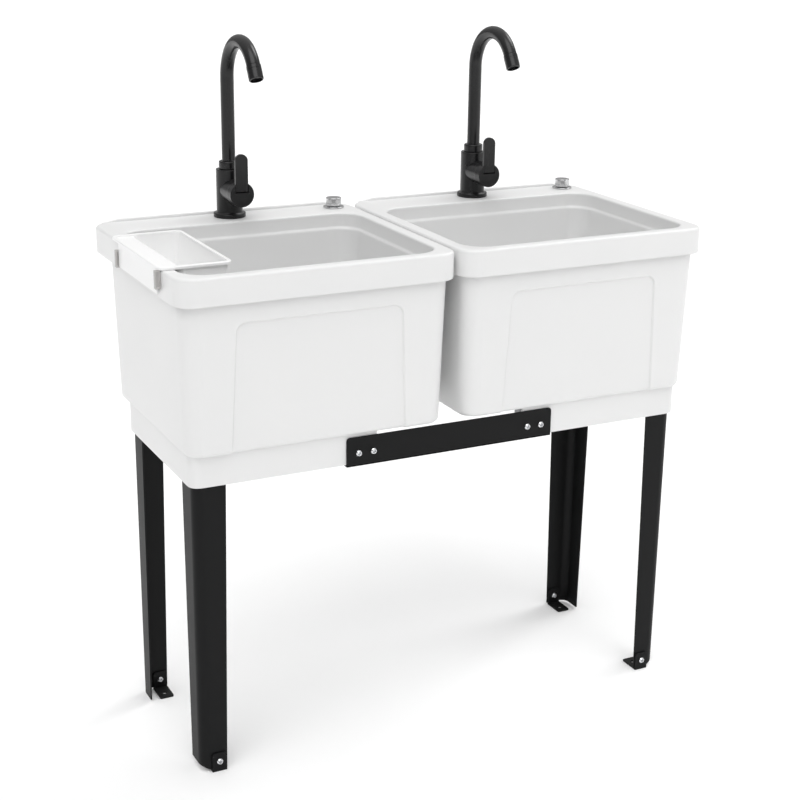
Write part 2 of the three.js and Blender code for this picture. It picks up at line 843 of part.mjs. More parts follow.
// A flat paddle with a round top; its lower end stands in the cap's slot, level with the cap's face, and
// has a boss round the pin.
function leverSolid() {
  const half = lever.width / 2;
  const outline = new THREE.Shape();
  outline.moveTo(-half, 0);
  outline.lineTo(half, 0);
  outline.absarc(0, lever.height - half, half, 0, Math.PI, false);
  outline.closePath();
  const t = lever.thickness;
  const plate = new THREE.ExtrudeGeometry(outline, { depth: t, bevelEnabled: false, curveSegments: 12 });
  plate.rotateX(Math.PI / 2);
  plate.translate(0, leverPivotY - lever.pivotRadius + t, leverPivotZ);
  const boss = alongX(lever.pivotRadius, half, facets.medium);
  return toSolid(plate).add(boss).subtract(alongX(lever.pinRadius + clearance, lever.width));
}

// ---------------------------------------------------------------- waste and its remote control

// Everything of the waste is drawn with the origin on the bowl floor at the middle of the outlet.
const nutTopZ = -(bowlFloorAtDrainZ - tub.bodyBottomZ) - clearance;
const drainBodyTopZ = nutTopZ - waste.nutHeight - clearance;
const portZ = drainBodyTopZ - 28;
const portEndY = waste.bodyRadius + waste.portLength;

function drainFlange() {
  const { throatRadius, sleeveRadius, flangeRadius, flangeLip, sleeveBelow } = waste;
  const ring = turned([
    [throatRadius, -sleeveBelow],
    [sleeveRadius, -sleeveBelow],
    [sleeveRadius, clearance],
    [flangeRadius, clearance],
    [flangeRadius, clearance + flangeLip * 0.4],
    [flangeRadius - 3, clearance + flangeLip],
    [throatRadius + 4, clearance + flangeLip],
    [throatRadius, clearance + flangeLip * 0.2],
    [throatRadius, -sleeveBelow],
  ], facets.large);
  const low = -sleeveBelow + 4;
  const high = low + 5;
  let spider = cylinderAt(waste.stemRadius + clearance + 3, low, high, 0, 0, facets.small);
  for (let i = 0; i < 3; i += 1) {
    const spoke = box(0, throatRadius + 1, -waste.spokeWidth / 2, waste.spokeWidth / 2, low, high);
    spider = spider.add(spoke.rotate([0, 0, 90 + 120 * i]));
  }
  spider = spider.subtract(cylinderAt(waste.stemRadius + clearance, low - 1, high + 1, 0, 0, facets.small));
  return ring.add(spider);
}

function drainPlug() {
  const seat = 2 * clearance + waste.flangeLip;
  const r = waste.seatRadius;
  return turned([
    [0, seat - waste.stemLength],
    [waste.stemRadius - 0.6, seat - waste.stemLength],
    [waste.stemRadius, seat - waste.stemLength + 0.8],
    [waste.stemRadius, seat],
    [r - 2, seat],
    [r, seat + 1.4],
    [r - 1.5, seat + 3],
    [r * 0.5, seat + 5],
    [8, seat + 5.5],
    [7, seat + 10],
    [0, seat + 10.6],
  ], facets.large);
}

function drainLocknut() {
  const bottom = nutTopZ - waste.nutHeight;
  const ring = cylinderAt(waste.nutRadius, bottom, nutTopZ, 0, 0, facets.small);
  const bore = cylinderAt(waste.sleeveRadius + clearance, bottom - 1, nutTopZ + 1, 0, 0, facets.large);
  return ring.subtract(bore);
}

// Screwed cup with the tailpiece under it and a side port for the plug's control.
function drainBody() {
  const top = drainBodyTopZ;
  const cupBottom = top - waste.bodyHeight;
  const tailBottom = waste.tailBottomZ - bowlFloorAtDrainZ;
  const innerCup = waste.sleeveRadius + clearance;
  const cup = turned([
    [innerCup, top],
    [waste.tailRadius - waste.tailWall, cupBottom],
    [waste.tailRadius - waste.tailWall, tailBottom],
    [waste.tailRadius, tailBottom],
    [waste.tailRadius, cupBottom - 2],
    [waste.bodyRadius, cupBottom + 16],
    [waste.bodyRadius + 2, top - 14],
    [waste.bodyRadius + 2, top],
    [innerCup, top],
  ], facets.large);
  const throat = turned([
    [0, top + 1],
    [innerCup, top + 1],
    [innerCup, top - 18],
    [waste.tailRadius - waste.tailWall, cupBottom],
    [0, cupBottom],
  ], facets.large);
  const port = cylinderAlongY(waste.portRadius, 10, portEndY, 0, portZ, facets.small);
  return cup.subtract(throat).add(port.subtract(throat));
}

// Knob parts are drawn with the origin on the deck.
function knobBase() {
  const f = knob.flangeRadius;
  const h = knob.flangeHeight;
  return turned([
    [knob.spindleRadius + clearance, -knob.stemBelowDeck],
    [knob.stemRadius, -knob.stemBelowDeck],
    [knob.stemRadius, clearance],
    [f, clearance],
    [f, clearance + h * 0.5],
    [f - 1.2, clearance + h],
    [knob.spindleRadius + clearance, clearance + h],
    [knob.spindleRadius + clearance, -knob.stemBelowDeck],
  ], facets.medium);
}

function knobCap() {
  const bottom = 2 * clearance + knob.flangeHeight;
  const top = bottom + knob.capHeight;
  const r = knob.capRadius;
  return turned([
    [0, -knob.stemBelowDeck + 3],
    [knob.spindleRadius, -knob.stemBelowDeck + 3],
    [knob.spindleRadius, bottom],
    [r - 0.6, bottom],
    [r, bottom + 0.8],
    [r, top - 2.4],
    [r - 0.8, top - 0.8],
    [r - 2.6, top],
    [0, top + 0.6],
  ], facets.medium);
}

// Holds the knob's base from under the deck.
function knobNut() {
  const top = -deckThicknessAtFaucet - clearance;
  const bottom = top - knob.nutHeight;
  const nut = cylinderAt(knob.nutRadius, bottom, top, 0, 0, facets.hex);
  return nut.subtract(cylinderAt(knob.stemRadius + clearance, bottom - 1, top + 1));
}

// ---------------------------------------------------------------- hanging caddy

const bowlLeftX = -tubCentreX - tub.width / 2 + tub.bowlRimWidth;
const rimLeftX = -tubCentreX - tub.width / 2;
const caddyLeftX = bowlLeftX + tub.bowlLedgeWidth + caddy.wallGap;
const caddyRimBottomZ = tub.rimTopZ + clearance;
const caddyRimTopZ = caddyRimBottomZ + caddy.rimHeight;

function caddySolid() {
  const outside = {
    left: caddyLeftX,
    right: caddyLeftX + caddy.insideWidth + 2 * caddy.wall,
    front: caddy.frontY + caddy.rimLip,
    back: caddy.backY - caddy.rimLip,
    radius: caddy.cornerRadius,
  };
  const bottomZ = caddyRimTopZ - caddy.depth;
  const frame = {
    left: rimLeftX - caddy.hookReach - caddy.apronThickness,
    right: outside.right + caddy.rimLip,
    front: caddy.frontY,
    back: caddy.backY,
    radius: caddy.cornerRadius,
  };
  const basket = toSolid(loft([
    insetRing(outside, caddy.draft + 3, bottomZ),
    insetRing(outside, caddy.draft, bottomZ + 3),
    insetRing(outside, 0, caddyRimTopZ - 1),
  ]));
  const collar = toSolid(loft([
    insetRing(frame, 0, caddyRimBottomZ),
    insetRing(frame, 0, caddyRimTopZ - 1.2),
    insetRing(frame, 1.2, caddyRimTopZ),
  ]));
  const space = toSolid(loft([
    insetRing(outside, caddy.wall + caddy.draft + 2, bottomZ + caddy.wall),
    insetRing(outside, caddy.wall + caddy.draft - 0.4, bottomZ + caddy.wall + 3),
    insetRing(outside, caddy.wall, caddyRimTopZ + 1),
  ]));
  const apron = box(
    frame.left, frame.left + caddy.apronThickness,
    clip.nearY + clip.length + clearance, clip.farY - clearance,
    caddyRimTopZ - caddy.apronDrop, caddyRimTopZ - 2,
  );
  let solid = basket.add(collar).add(apron).subtract(space);
  const firstX = outside.left + caddy.draft + caddy.slotMargin;
  const lastX = outside.right - caddy.draft - caddy.slotMargin;
  const pitch = (lastX - firstX) / (caddy.slotCount - 1);
  const middleY = (caddy.frontY + caddy.backY) / 2;
  for (const row of [-1, 1]) {
    const y = middleY + row * (caddy.slotLength + caddy.slotGap) / 2;
    const front = y - caddy.slotLength / 2;
    const back = y + caddy.slotLength / 2;
    for (let i = 0; i < caddy.slotCount; i += 1) {
      const x = firstX + i * pitch;
      const half = caddy.slotWidth / 2;
      solid = solid.subtract(box(x - half, x + half, front, back, bottomZ - 1, bottomZ + 8));
    }
  }
  return solid;
}

// A grey block at each end of the outside apron; it bears on the rim's outer face.
function caddyClip(y, lower) {
  const left = rimLeftX - clearance - clip.width;
  const right = rimLeftX - clearance;
  const top = caddyRimBottomZ - clearance - lower;
  const bottom = top - clip.drop;
  const block = box(left, right, y, y + clip.length, bottom, top);
  const face = box(left + 2, right - 2, y - 1, y + clip.recess, bottom + 4, top - 3);
  return block.subtract(face);
}

// ---------------------------------------------------------------- assembly

const sides = [['left', -1], ['right', 1]];

for (const [label, side] of sides) {
  const place = new THREE.Group();
  place.position.set(side * tubCentreX, 0, 0);
  sink.add(place);
  addPiece(`${label}_tub`, tubSolid(), whitePlastic(), 0, 0, 0, place);
  addPiece(`${label}_base_band`, baseBand(side), whitePlastic(), 0, 0, 0, place);

  const tap = new THREE.Group();
  tap.position.set(0, faucetY, deckZ);
  place.add(tap);
  addPiece(`${label}_faucet_body`, faucetBody(), mattBlack(), 0, 0, 0, tap);
  addPiece(`${label}_faucet_locknut`, faucetLocknut(), greyPlastic(), 0, 0, 0, tap);
  addPiece(`${label}_spout_collar`, spoutCollar(), mattBlack(), 0, 0, 0, tap);
  addPiece(`${label}_gooseneck_spout`, spoutSolid(), mattBlack(), 0, 0, 0, tap);
  addPiece(`${label}_aerator`, aeratorSolid(), mattBlack(), 0, 0, 0, tap);
  addPiece(`${label}_temperature_cap`, temperatureCap(), mattBlack(), 0, 0, 0, tap);
  addPiece(`${label}_lever_pin`, leverPin(), stainless(), 0, 0, 0, tap);
  addPiece(`${label}_lever`, leverSolid(), mattBlack(), 0, 0, 0, tap);

  const outlet = new THREE.Group();
  outlet.position.set(0, waste.y, bowlFloorAtDrainZ);
  place.add(outlet);
  addPiece(`${label}_drain_flange`, drainFlange(), stainless(), 0, 0, 0, outlet);
  addPiece(`${label}_drain_plug`, drainPlug(), stainless(), 0, 0, 0, outlet);
  addPiece(`${label}_drain_locknut`, drainLocknut(), greyPlastic(), 0, 0, 0, outlet);
  addPiece(`${label}_drain_body`, drainBody(), greyPlastic(), 0, 0, 0, outlet);

  const control = new THREE.Group();
  control.position.set(knob.fromCentreX, faucetY, deckZ);
  place.add(control);
  addPiece(`${label}_waste_knob_base`, knobBase(), chrome(), 0, 0, 0, control);
  addPiece(`${label}_waste_knob`, knobCap(), chrome(), 0, 0, 0, control);
  addPiece(`${label}_waste_knob_nut`, knobNut(), greyPlastic(), 0, 0, 0, control);
}

for (const [end, atFront] of [['front', true], ['back', false]]) {
  for (const [label, side] of sides) {
    const facing = (solid) => (side > 0 ? solid : solid.mirror([1, 0, 0]));
    const x = side * legOuterX;
    const y = atFront ? legFrontY : legBackY;
    addPiece(`${end}_${label}_leg`, facing(legSolid(atFront)), blackSteel(), x, y, 0);
    addPiece(`${end}_${label}_foot_bracket`, facing(footBracketSolid(atFront)), blackSteel(), x, y, 0);
    const plateAndFlange = footBracket.thickness + clearance + leg.thickness;
    const gripFront = atFront ? -clearance - footBracket.thickness : -plateAndFlange;
    const gripBack = atFront ? leg.thickness : 0;
    const bolt = screwAlongY(footBolt, gripFront, gripBack);
    addPiece(`${end}_${label}_foot_bolt`, bolt, zincPlate(), x + side * footBoltX(), y, footBolt.centreZ);
  }
  addPiece(`${end}_rail`, railSolid(atFront), blackSteel());
  const wallY = atFront ? bandFrontY : bandBackY;
  railBoltPlaces.forEach((x, i) => {
    const outside = -clearance - rail.thickness;
    const bolt = screwAlongY(railBolt, outside, band.wall);
    const turnedBolt = atFront ? bolt : bolt.mirror([0, 1, 0]);
    addPiece(`${end}_rail_bolt_${i + 1}`, turnedBolt, zincPlate(), x, wallY, railBoltZ);
  });
}

addPiece('caddy', caddySolid(), whitePlastic());
addPiece('caddy_near_clip', caddyClip(clip.nearY, 0), greyPlastic());
addPiece('caddy_far_clip', caddyClip(clip.farY, clip.farLower), greyPlastic());

export default root;
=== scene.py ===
import bmesh
import bpy
import json
import math
from mathutils import Matrix, Vector
from mathutils.geometry import tessellate_polygon


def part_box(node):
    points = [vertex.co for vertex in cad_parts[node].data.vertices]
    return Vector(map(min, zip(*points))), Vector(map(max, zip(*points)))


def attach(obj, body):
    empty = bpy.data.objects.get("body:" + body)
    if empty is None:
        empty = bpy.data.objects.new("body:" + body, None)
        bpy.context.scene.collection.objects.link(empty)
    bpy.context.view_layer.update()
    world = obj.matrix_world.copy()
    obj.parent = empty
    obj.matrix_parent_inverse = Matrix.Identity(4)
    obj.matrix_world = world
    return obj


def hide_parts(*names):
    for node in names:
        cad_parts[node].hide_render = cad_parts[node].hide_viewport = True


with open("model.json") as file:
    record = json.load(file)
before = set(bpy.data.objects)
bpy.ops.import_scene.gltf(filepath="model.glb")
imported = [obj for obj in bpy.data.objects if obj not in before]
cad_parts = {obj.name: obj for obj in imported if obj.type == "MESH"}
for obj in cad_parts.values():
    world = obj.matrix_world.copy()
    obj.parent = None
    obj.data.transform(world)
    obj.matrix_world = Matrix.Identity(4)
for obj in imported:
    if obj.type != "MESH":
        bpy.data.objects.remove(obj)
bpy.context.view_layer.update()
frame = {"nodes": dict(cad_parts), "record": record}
scene = bpy.context.scene
mm = 0.001
sides = ("left", "right")
ends = ("front", "back")
corners = [(end, side) for end in ends for side in sides]
seatGap = 0.3  # what rests on another piece stays this far from it
axisRadius = 0.01  # a turned profile stops this short of its axis
edgeFinish = {"sharpAngle": 32, "bevelAngle": 35, "bevelSteps": 3}


def addObject(name, data):
    added = bpy.data.objects.new(name, data)
    scene.collection.objects.link(added)
    return added


# A shell is (verts, faces) in millimetres; it becomes metres here.
def makePiece(name, shell, slotName, nodes=(), bevel=0.0, body="sink", sharp=edgeFinish["sharpAngle"]):
    verts, faces = shell
    mesh = bpy.data.meshes.new(name)
    mesh.from_pydata([(x * mm, y * mm, z * mm) for x, y, z in verts], [], faces)
    mesh.validate()
    work = bmesh.new()
    work.from_mesh(mesh)
    bmesh.ops.recalc_face_normals(work, faces=work.faces)
    work.to_mesh(mesh)
    work.free()
    mesh.shade_smooth()
    mesh.set_sharp_from_angle(angle=math.radians(sharp))
    piece = addObject(name, mesh)
    mesh.materials.append(materials[slotName])
    if bevel:
        soften = piece.modifiers.new("soften", "BEVEL")
        soften.width = bevel * mm
        soften.segments = edgeFinish["bevelSteps"]
        soften.limit_method = "ANGLE"
        soften.angle_limit = math.radians(edgeFinish["bevelAngle"])
        soften.harden_normals = True
    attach(piece, body)
    if nodes:
        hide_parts(*nodes)


def joinShells(*shells):
    verts, faces = [], []
    for shellVerts, shellFaces in shells:
        offset = len(verts)
        verts += list(shellVerts)
        faces += [tuple(i + offset for i in face) for face in shellFaces]
    return verts, faces


# Skins a row of rings; loop joins the last ring to the first, and then there are no caps.
def loftRings(rings, caps=True, loop=False):
    count = len(rings[0])
    verts = [p for ring in rings for p in ring]
    faces = []
    spans = len(rings) if loop else len(rings) - 1
    for span in range(spans):
        a, b = span * count, ((span + 1) % len(rings)) * count
        for i in range(count):
            j = (i + 1) % count
            faces.append((a + i, a + j, b + j, b + i))
    if caps and not loop:
        faces.append(tuple(reversed(range(count))))
        faces.append(tuple((len(rings) - 1) * count + i for i in range(count)))
    return verts, faces


# Rounds the corners of a flat path; each point is (x, y, radius).
def filletPath(points, closed=True, steps=6):
    path = []
    count = len(points)
    longestShare = 0.49  # of a side, so that two roundings never meet
    for i, (x, y, radius) in enumerate(points):
        here = Vector((x, y))
        if radius <= 0 or (not closed and i in (0, count - 1)):
            path.append((x, y))
            continue
        before = Vector(points[i - 1][:2]) - here
        after = Vector(points[(i + 1) % count][:2]) - here
        wanted = radius / math.tan(before.angle(after) / 2)
        reach = min(wanted, before.length * longestShare, after.length * longestShare)
        start = here + before.normalized() * reach
        end = here + after.normalized() * reach
        for k in range(steps + 1):
            t = k / steps
            p = start * (1 - t) ** 2 + here * 2 * t * (1 - t) + end * t ** 2
            path.append((p.x, p.y))
    return path


# The third number of each corner is its rounding or its height.
def rectangle(left, right, low, high, atLow=0, atHigh=0):
    return [(left, low, atLow), (right, low, atLow), (right, high, atHigh), (left, high, atHigh)]


def circleLoop(x, y, radius, count=32):
    turn = 2 * math.pi / count
    return [(x + radius * math.cos(turn * i), y + radius * math.sin(turn * i)) for i in range(count)]


# Turns a (radius, height) profile; closed is for one that goes all round.
def lathe(profile, centre=(0, 0, 0), count=64, closed=False):
    rings = []
    for radius, height in profile:
        loop = circleLoop(centre[0], centre[1], max(radius, axisRadius), count)
        rings.append([(x, y, centre[2] + height) for x, y in loop])
    return loftRings(rings, loop=closed)


# Turns a profile of (radius, height, rounding).
def turned(points, steps, centre=(0, 0, 0), count=64, closed=False):
    return lathe(filletPath(points, closed, steps), centre, count, closed)


def rod(radius, low, high, centre=(0, 0, 0), count=64):
    return lathe([(0, low), (radius, low), (radius, high), (0, high)], centre, count)


# Lays a shell made about +Z at the origin along another direction.
def laid(shell, direction, centre):
    turn = Vector((0, 0, 1)).rotation_difference(Vector(direction))
    verts = [tuple(turn @ Vector(v) + Vector(centre)) for v in shell[0]]
    return verts, shell[1]


def movedX(shell, x):
    return [(a + x, b, c) for a, b, c in shell[0]], shell[1]


def triangles(loops):
    return tessellate_polygon([[Vector((x, y, 0)) for x, y in loop] for loop in loops])


# The walls between each loop's points at one height and the same points, offset places on.
def loopWalls(loops, first, offset):
    faces = []
    start = first
    for loop in loops:
        size = len(loop)
        for i in range(size):
            j = (i + 1) % size
            faces.append((start + i, start + j, start + j + offset, start + i + offset))
        start += size
    return faces


# A flat plate between two heights, with holes; every loop is a list of (x, y).
def plateWithHoles(outline, holes, low, high):
    loops = [outline] + holes
    points = [p for loop in loops for p in loop]
    count = len(points)
    verts = [(x, y, low) for x, y in points] + [(x, y, high) for x, y in points]
    faces = []
    for a, b, c in triangles(loops):
        faces += [(a, b, c), (a + count, c + count, b + count)]
    return verts, faces + loopWalls(loops, 0, count)


def extrudeAlongY(outline, fromY, toY, centre=(0, 0)):
    return loftRings([[(centre[0] + x, y, centre[1] + z) for x, z in outline] for y in (toY, fromY)])


# A rounded rectangle set in from a (left, right, front, back, corner) box.
def roundedRing(box, leastCorner, inset, z, frontSamples, cornerSteps=9, sideSamples=5):
    left, right, front, back = box[0] + inset, box[1] - inset, box[2] + inset, box[3] - inset
    radius = max(box[4] - inset, leastCorner)
    flatLeft, flatRight = left + radius, right - radius
    flatFront, flatBack = front + radius, back - radius
    ring = [(min(max(x, flatLeft), flatRight), front, z) for x in frontSamples]

    def turn(cx, cy, startDegrees):
        for k in range(1, cornerSteps + 1):
            a = math.radians(startDegrees + 90 * k / cornerSteps)
            ring.append((cx + radius * math.cos(a), cy + radius * math.sin(a), z))

    shares = [k / sideSamples for k in range(1, sideSamples + 1)]
    turn(flatRight, flatFront, -90)
    ring += [(right, flatFront + (flatBack - flatFront) * share, z) for share in shares]
    turn(flatRight, flatBack, 0)
    ring += [(flatRight + (flatLeft - flatRight) * share, back, z) for share in shares]
    turn(flatLeft, flatBack, 90)
    ring += [(left, flatBack + (flatFront - flatBack) * share, z) for share in shares]
    turn(flatLeft, flatFront, 180)
    return ring


# The (cosine, sine) pairs of a quarter turn.
def arc(steps):
    angles = [math.pi / 2 * k / steps for k in range(steps + 1)]
    return [(math.cos(angle), math.sin(angle)) for angle in angles]


def smooth(t):
    return t * t * (3 - 2 * t)


# Surface effects that materials share, as node groups.
def newGroup(name, inputs, outputs):
    group = bpy.data.node_groups.new(name, "ShaderNodeTree")
    for label, value in inputs.items():
        kind = "NodeSocketFloat" if isinstance(value, float) else "NodeSocketColor"
        socket = group.interface.new_socket(name=label, in_out="INPUT", socket_type=kind)
        socket.default_value = value
    for label in outputs:
        kind = "NodeSocketColor" if label == "Color" else "NodeSocketFloat"
        group.interface.new_socket(name=label, in_out="OUTPUT", socket_type=kind)
    return group, group.nodes.new("NodeGroupInput").outputs, group.nodes.new("NodeGroupOutput").inputs


def feed(tree, socket, value):
    if isinstance(value, (int, float)):
        socket.default_value = value
    else:
        tree.links.new(value, socket)


def mathNode(tree, operation, first, second, clamp=False):
    node = tree.nodes.new("ShaderNodeMath")
    node.operation = operation
    node.use_clamp = clamp
    feed(tree, node.inputs[0], first)
    feed(tree, node.inputs[1], second)
    return node.outputs[0]


# The mix node's sockets for colours are inputs 6 and 7 and output 2.
def mixColour(tree, share, first, second):
    node = tree.nodes.new("ShaderNodeMix")
    node.data_type = "RGBA"
    for number, value in ((0, share), (6, first), (7, second)):
        feed(tree, node.inputs[number], value)
    return node.outputs[2]


def noise(tree, scale, detail):
    place = tree.nodes.new("ShaderNodeTexCoord")
    texture = tree.nodes.new("ShaderNodeTexNoise")
    texture.inputs["Detail"].default_value = detail
    tree.links.new(place.outputs["Object"], texture.inputs["Vector"])
    feed(tree, texture.inputs["Scale"], scale)
    return texture.outputs["Fac"]


# Lays a second colour over the base colour in some places, broken up by noise.
def patchyMix(group, given, places, pattern, second):
    mask = mathNode(group, "MULTIPLY", places, noise(group, *pattern))
    mask = mathNode(group, "MULTIPLY", mask, given["Amount"], True)
    return mixColour(group, mask, given["Base Color"], given[second])


# The patterns of noise are (scale, detail).
grainPattern = {"drift": (7.0, 2.0), "wave": (26.0, 1.0), "fineDetail": 3.0}
wearPattern = {"patch": (60.0, 3.0), "bevelSamples": 4, "gain": 5.0}
dustPattern = {"patch": (34.0, 4.0), "upwardPower": 3.0}


# Fine grain, and slow drifts of colour and gloss.
def surfaceGrainGroup():
    group, given, result = newGroup("surfaceGrain", {
        "Base Color": (0.8, 0.8, 0.8, 1), "Drift Color": (0.7, 0.7, 0.7, 1), "Drift Amount": 0.3,
        "Grain Scale": 900.0, "Roughness": 0.4, "Roughness Change": 0.1, "Waviness": 0.4,
    }, ("Color", "Roughness", "Height"))
    slow = noise(group, *grainPattern["drift"])
    fine = noise(group, given["Grain Scale"], grainPattern["fineDetail"])
    drift = mathNode(group, "MULTIPLY", slow, given["Drift Amount"], True)
    colour = mixColour(group, drift, given["Base Color"], given["Drift Color"])
    offset = mathNode(group, "SUBTRACT", slow, 0.5)
    change = mathNode(group, "MULTIPLY", offset, given["Roughness Change"])
    rough = mathNode(group, "ADD", given["Roughness"], change, True)
    broad = noise(group, *grainPattern["wave"])
    wave = mathNode(group, "MULTIPLY", broad, given["Waviness"])
    group.links.new(colour, result["Color"])
    group.links.new(rough, result["Roughness"])
    group.links.new(mathNode(group, "ADD", fine, wave), result["Height"])
    return group


# Finds edges by comparing the rounded normal with the true one.
def edgeWearGroup():
    group, given, result = newGroup("edgeWear", {
        "Base Color": (0.1, 0.1, 0.1, 1), "Edge Color": (0.3, 0.3, 0.3, 1), "Edge Width": 0.0015,
        "Amount": 0.5,
    }, ("Color",))
    rounded = group.nodes.new("ShaderNodeBevel")
    rounded.samples = wearPattern["bevelSamples"]
    group.links.new(given["Edge Width"], rounded.inputs["Radius"])
    plain = group.nodes.new("ShaderNodeNewGeometry")
    likeness = group.nodes.new("ShaderNodeVectorMath")
    likeness.operation = "DOT_PRODUCT"
    group.links.new(rounded.outputs["Normal"], likeness.inputs[0])
    group.links.new(plain.outputs["Normal"], likeness.inputs[1])
    edge = mathNode(group, "SUBTRACT", 1.0, likeness.outputs["Value"], True)
    edge = mathNode(group, "MULTIPLY", edge, wearPattern["gain"], True)
    colour = patchyMix(group, given, edge, wearPattern["patch"], "Edge Color")
    group.links.new(colour, result["Color"])
    return group


# A thin veil of dust on what faces up.
def dustGroup():
    group, given, result = newGroup("dustVeil", {
        "Base Color": (0.1, 0.1, 0.1, 1), "Dust Color": (0.6, 0.59, 0.57, 1), "Amount": 0.1,
    }, ("Color",))
    plain = group.nodes.new("ShaderNodeNewGeometry")
    split = group.nodes.new("ShaderNodeSeparateXYZ")
    group.links.new(plain.outputs["Normal"], split.inputs[0])
    above = mathNode(group, "MAXIMUM", split.outputs["Z"], 0.0)
    upward = mathNode(group, "POWER", above, dustPattern["upwardPower"])
    colour = patchyMix(group, given, upward, dustPattern["patch"], "Dust Color")
    group.links.new(colour, result["Color"])
    return group


grainGroup = surfaceGrainGroup()
wearGroup = edgeWearGroup()
veilGroup = dustGroup()


def addGroup(tree, group, **values):
    node = tree.nodes.new("ShaderNodeGroup")
    node.node_tree = group
    for label, value in values.items():
        node.inputs[label.replace("_", " ")].default_value = value
    return node


def newMaterial(name):
    material = bpy.data.materials.new(name)
    material.use_nodes = True
    return material, material.node_tree, material.node_tree.nodes["Principled BSDF"]


def surface(name, look):
    look = {**plainLook, **look}
    material, tree, shader = newMaterial(name)
    shader.inputs["Metallic"].default_value = look["metallic"]
    shader.inputs["Coat Weight"].default_value, shader.inputs["Coat Roughness"].default_value = look["coat"]
    shader.inputs["Specular IOR Level"].default_value = look["specular"]
    (driftColour, driftAmount), (roughness, change) = look["drift"], look["roughness"]
    (scale, waviness), (edgeColour, edgeWidth, edgeAmount) = look["grain"], look["edge"]
    grain = addGroup(
        tree, grainGroup, Base_Color=look["colour"], Drift_Color=driftColour, Drift_Amount=driftAmount,
        Grain_Scale=scale, Roughness=roughness, Roughness_Change=change, Waviness=waviness,
    )
    wear = addGroup(tree, wearGroup, Edge_Color=edgeColour, Edge_Width=edgeWidth, Amount=edgeAmount)
    veil = addGroup(tree, veilGroup, Amount=look["dust"])
    bump = tree.nodes.new("ShaderNodeBump")
    bump.inputs["Strength"].default_value, bump.inputs["Distance"].default_value = look["bump"]
    tree.links.new(grain.outputs["Color"], wear.inputs["Base Color"])
    tree.links.new(wear.outputs["Color"], veil.inputs["Base Color"])
    tree.links.new(veil.outputs["Color"], shader.inputs["Base Color"])
    tree.links.new(grain.outputs["Roughness"], shader.inputs["Roughness"])
    tree.links.new(grain.outputs["Height"], bump.inputs["Height"])
    tree.links.new(bump.outputs["Normal"], shader.inputs["Normal"])
    return material


# drift is (colour, amount), grain (scale, waviness), roughness (value, change), edge (colour, width
# in metres, amount), bump (strength, distance in metres) and coat (weight, roughness).
plainLook = {"metallic": 0.0, "coat": (0.0, 0.1), "specular": 0.5}
looks = {
    "tub_plastic": {
        "colour": (0.775, 0.775, 0.771, 1), "drift": ((0.75, 0.753, 0.757, 1), 0.5),
        "grain": (1100.0, 1.2), "roughness": (0.36, 0.12), "edge": ((0.86, 0.86, 0.86, 1), 0.003, 0.4),
        "dust": 0.04, "bump": (0.06, 0.0006), "coat": (0.12, 0.25),
    },
    "caddy_plastic": {
        "colour": (0.9, 0.9, 0.895, 1), "drift": ((0.87, 0.87, 0.88, 1), 0.5),
        "grain": (1300.0, 0.8), "roughness": (0.32, 0.1), "edge": ((0.9, 0.9, 0.9, 1), 0.0015, 0.4),
        "dust": 0.03, "bump": (0.05, 0.0004),
    },
    "clip_grey": {
        "colour": (0.47, 0.46, 0.45, 1), "drift": ((0.38, 0.37, 0.36, 1), 0.6),
        "grain": (1500.0, 0.5), "roughness": (0.45, 0.15), "edge": ((0.6, 0.59, 0.58, 1), 0.0008, 0.5),
        "dust": 0.05, "bump": (0.1, 0.0003),
    },
    "leg_black": {
        "colour": (0.0045, 0.0048, 0.005, 1), "drift": ((0.007, 0.007, 0.0075, 1), 0.6),
        "grain": (700.0, 0.6), "roughness": (0.46, 0.14), "edge": ((0.03, 0.03, 0.032, 1), 0.001, 0.6),
        "dust": 0.02, "bump": (0.18, 0.0004), "specular": 0.16,
    },
    "faucet_black": {
        "colour": (0.004, 0.004, 0.0045, 1), "drift": ((0.006, 0.006, 0.0065, 1), 0.5),
        "grain": (1800.0, 0.2), "roughness": (0.27, 0.1), "edge": ((0.06, 0.06, 0.065, 1), 0.0008, 0.5),
        "dust": 0.03, "bump": (0.06, 0.0002), "specular": 0.42,
    },
    "knob_chrome": {
        "colour": (0.62, 0.62, 0.625, 1), "drift": ((0.5, 0.5, 0.51, 1), 0.6),
        "grain": (2400.0, 0.2), "roughness": (0.16, 0.05), "edge": ((0.95, 0.95, 0.95, 1), 0.0006, 0.4),
        "dust": 0.02, "bump": (0.02, 0.0001), "metallic": 1.0,
    },
    "zinc_screw": {
        "colour": (0.72, 0.73, 0.74, 1), "drift": ((0.62, 0.63, 0.66, 1), 0.7),
        "grain": (2600.0, 0.3), "roughness": (0.26, 0.16), "edge": ((0.9, 0.9, 0.9, 1), 0.0005, 0.6),
        "dust": 0.05, "bump": (0.08, 0.0002), "metallic": 1.0,
    },
    "stainless": {
        "colour": (0.66, 0.67, 0.68, 1), "drift": ((0.58, 0.59, 0.61, 1), 0.6),
        "grain": (2000.0, 0.4), "roughness": (0.24, 0.14), "edge": ((0.85, 0.85, 0.86, 1), 0.0008, 0.5),
        "dust": 0.03, "bump": (0.06, 0.0002), "metallic": 1.0,
    },
    "under_sink_grey": {
        "colour": (0.24, 0.245, 0.25, 1), "drift": ((0.2, 0.2, 0.21, 1), 0.6),
        "grain": (1300.0, 0.6), "roughness": (0.5, 0.14), "edge": ((0.36, 0.36, 0.37, 1), 0.001, 0.5),
        "dust": 0.08, "bump": (0.1, 0.0004),
    },
}
materials = {name: surface(name, look) for name, look in looks.items()}
print("stage: materials made")

# Every CAD node takes the material of its slot; finer pieces replace all but the nuts and pins.
for entry in frame["record"]["subparts"]:
    node = frame["nodes"][entry["node"]]
    node.data.materials.clear()
    node.data.materials.append(materials[entry["material_slot"]])


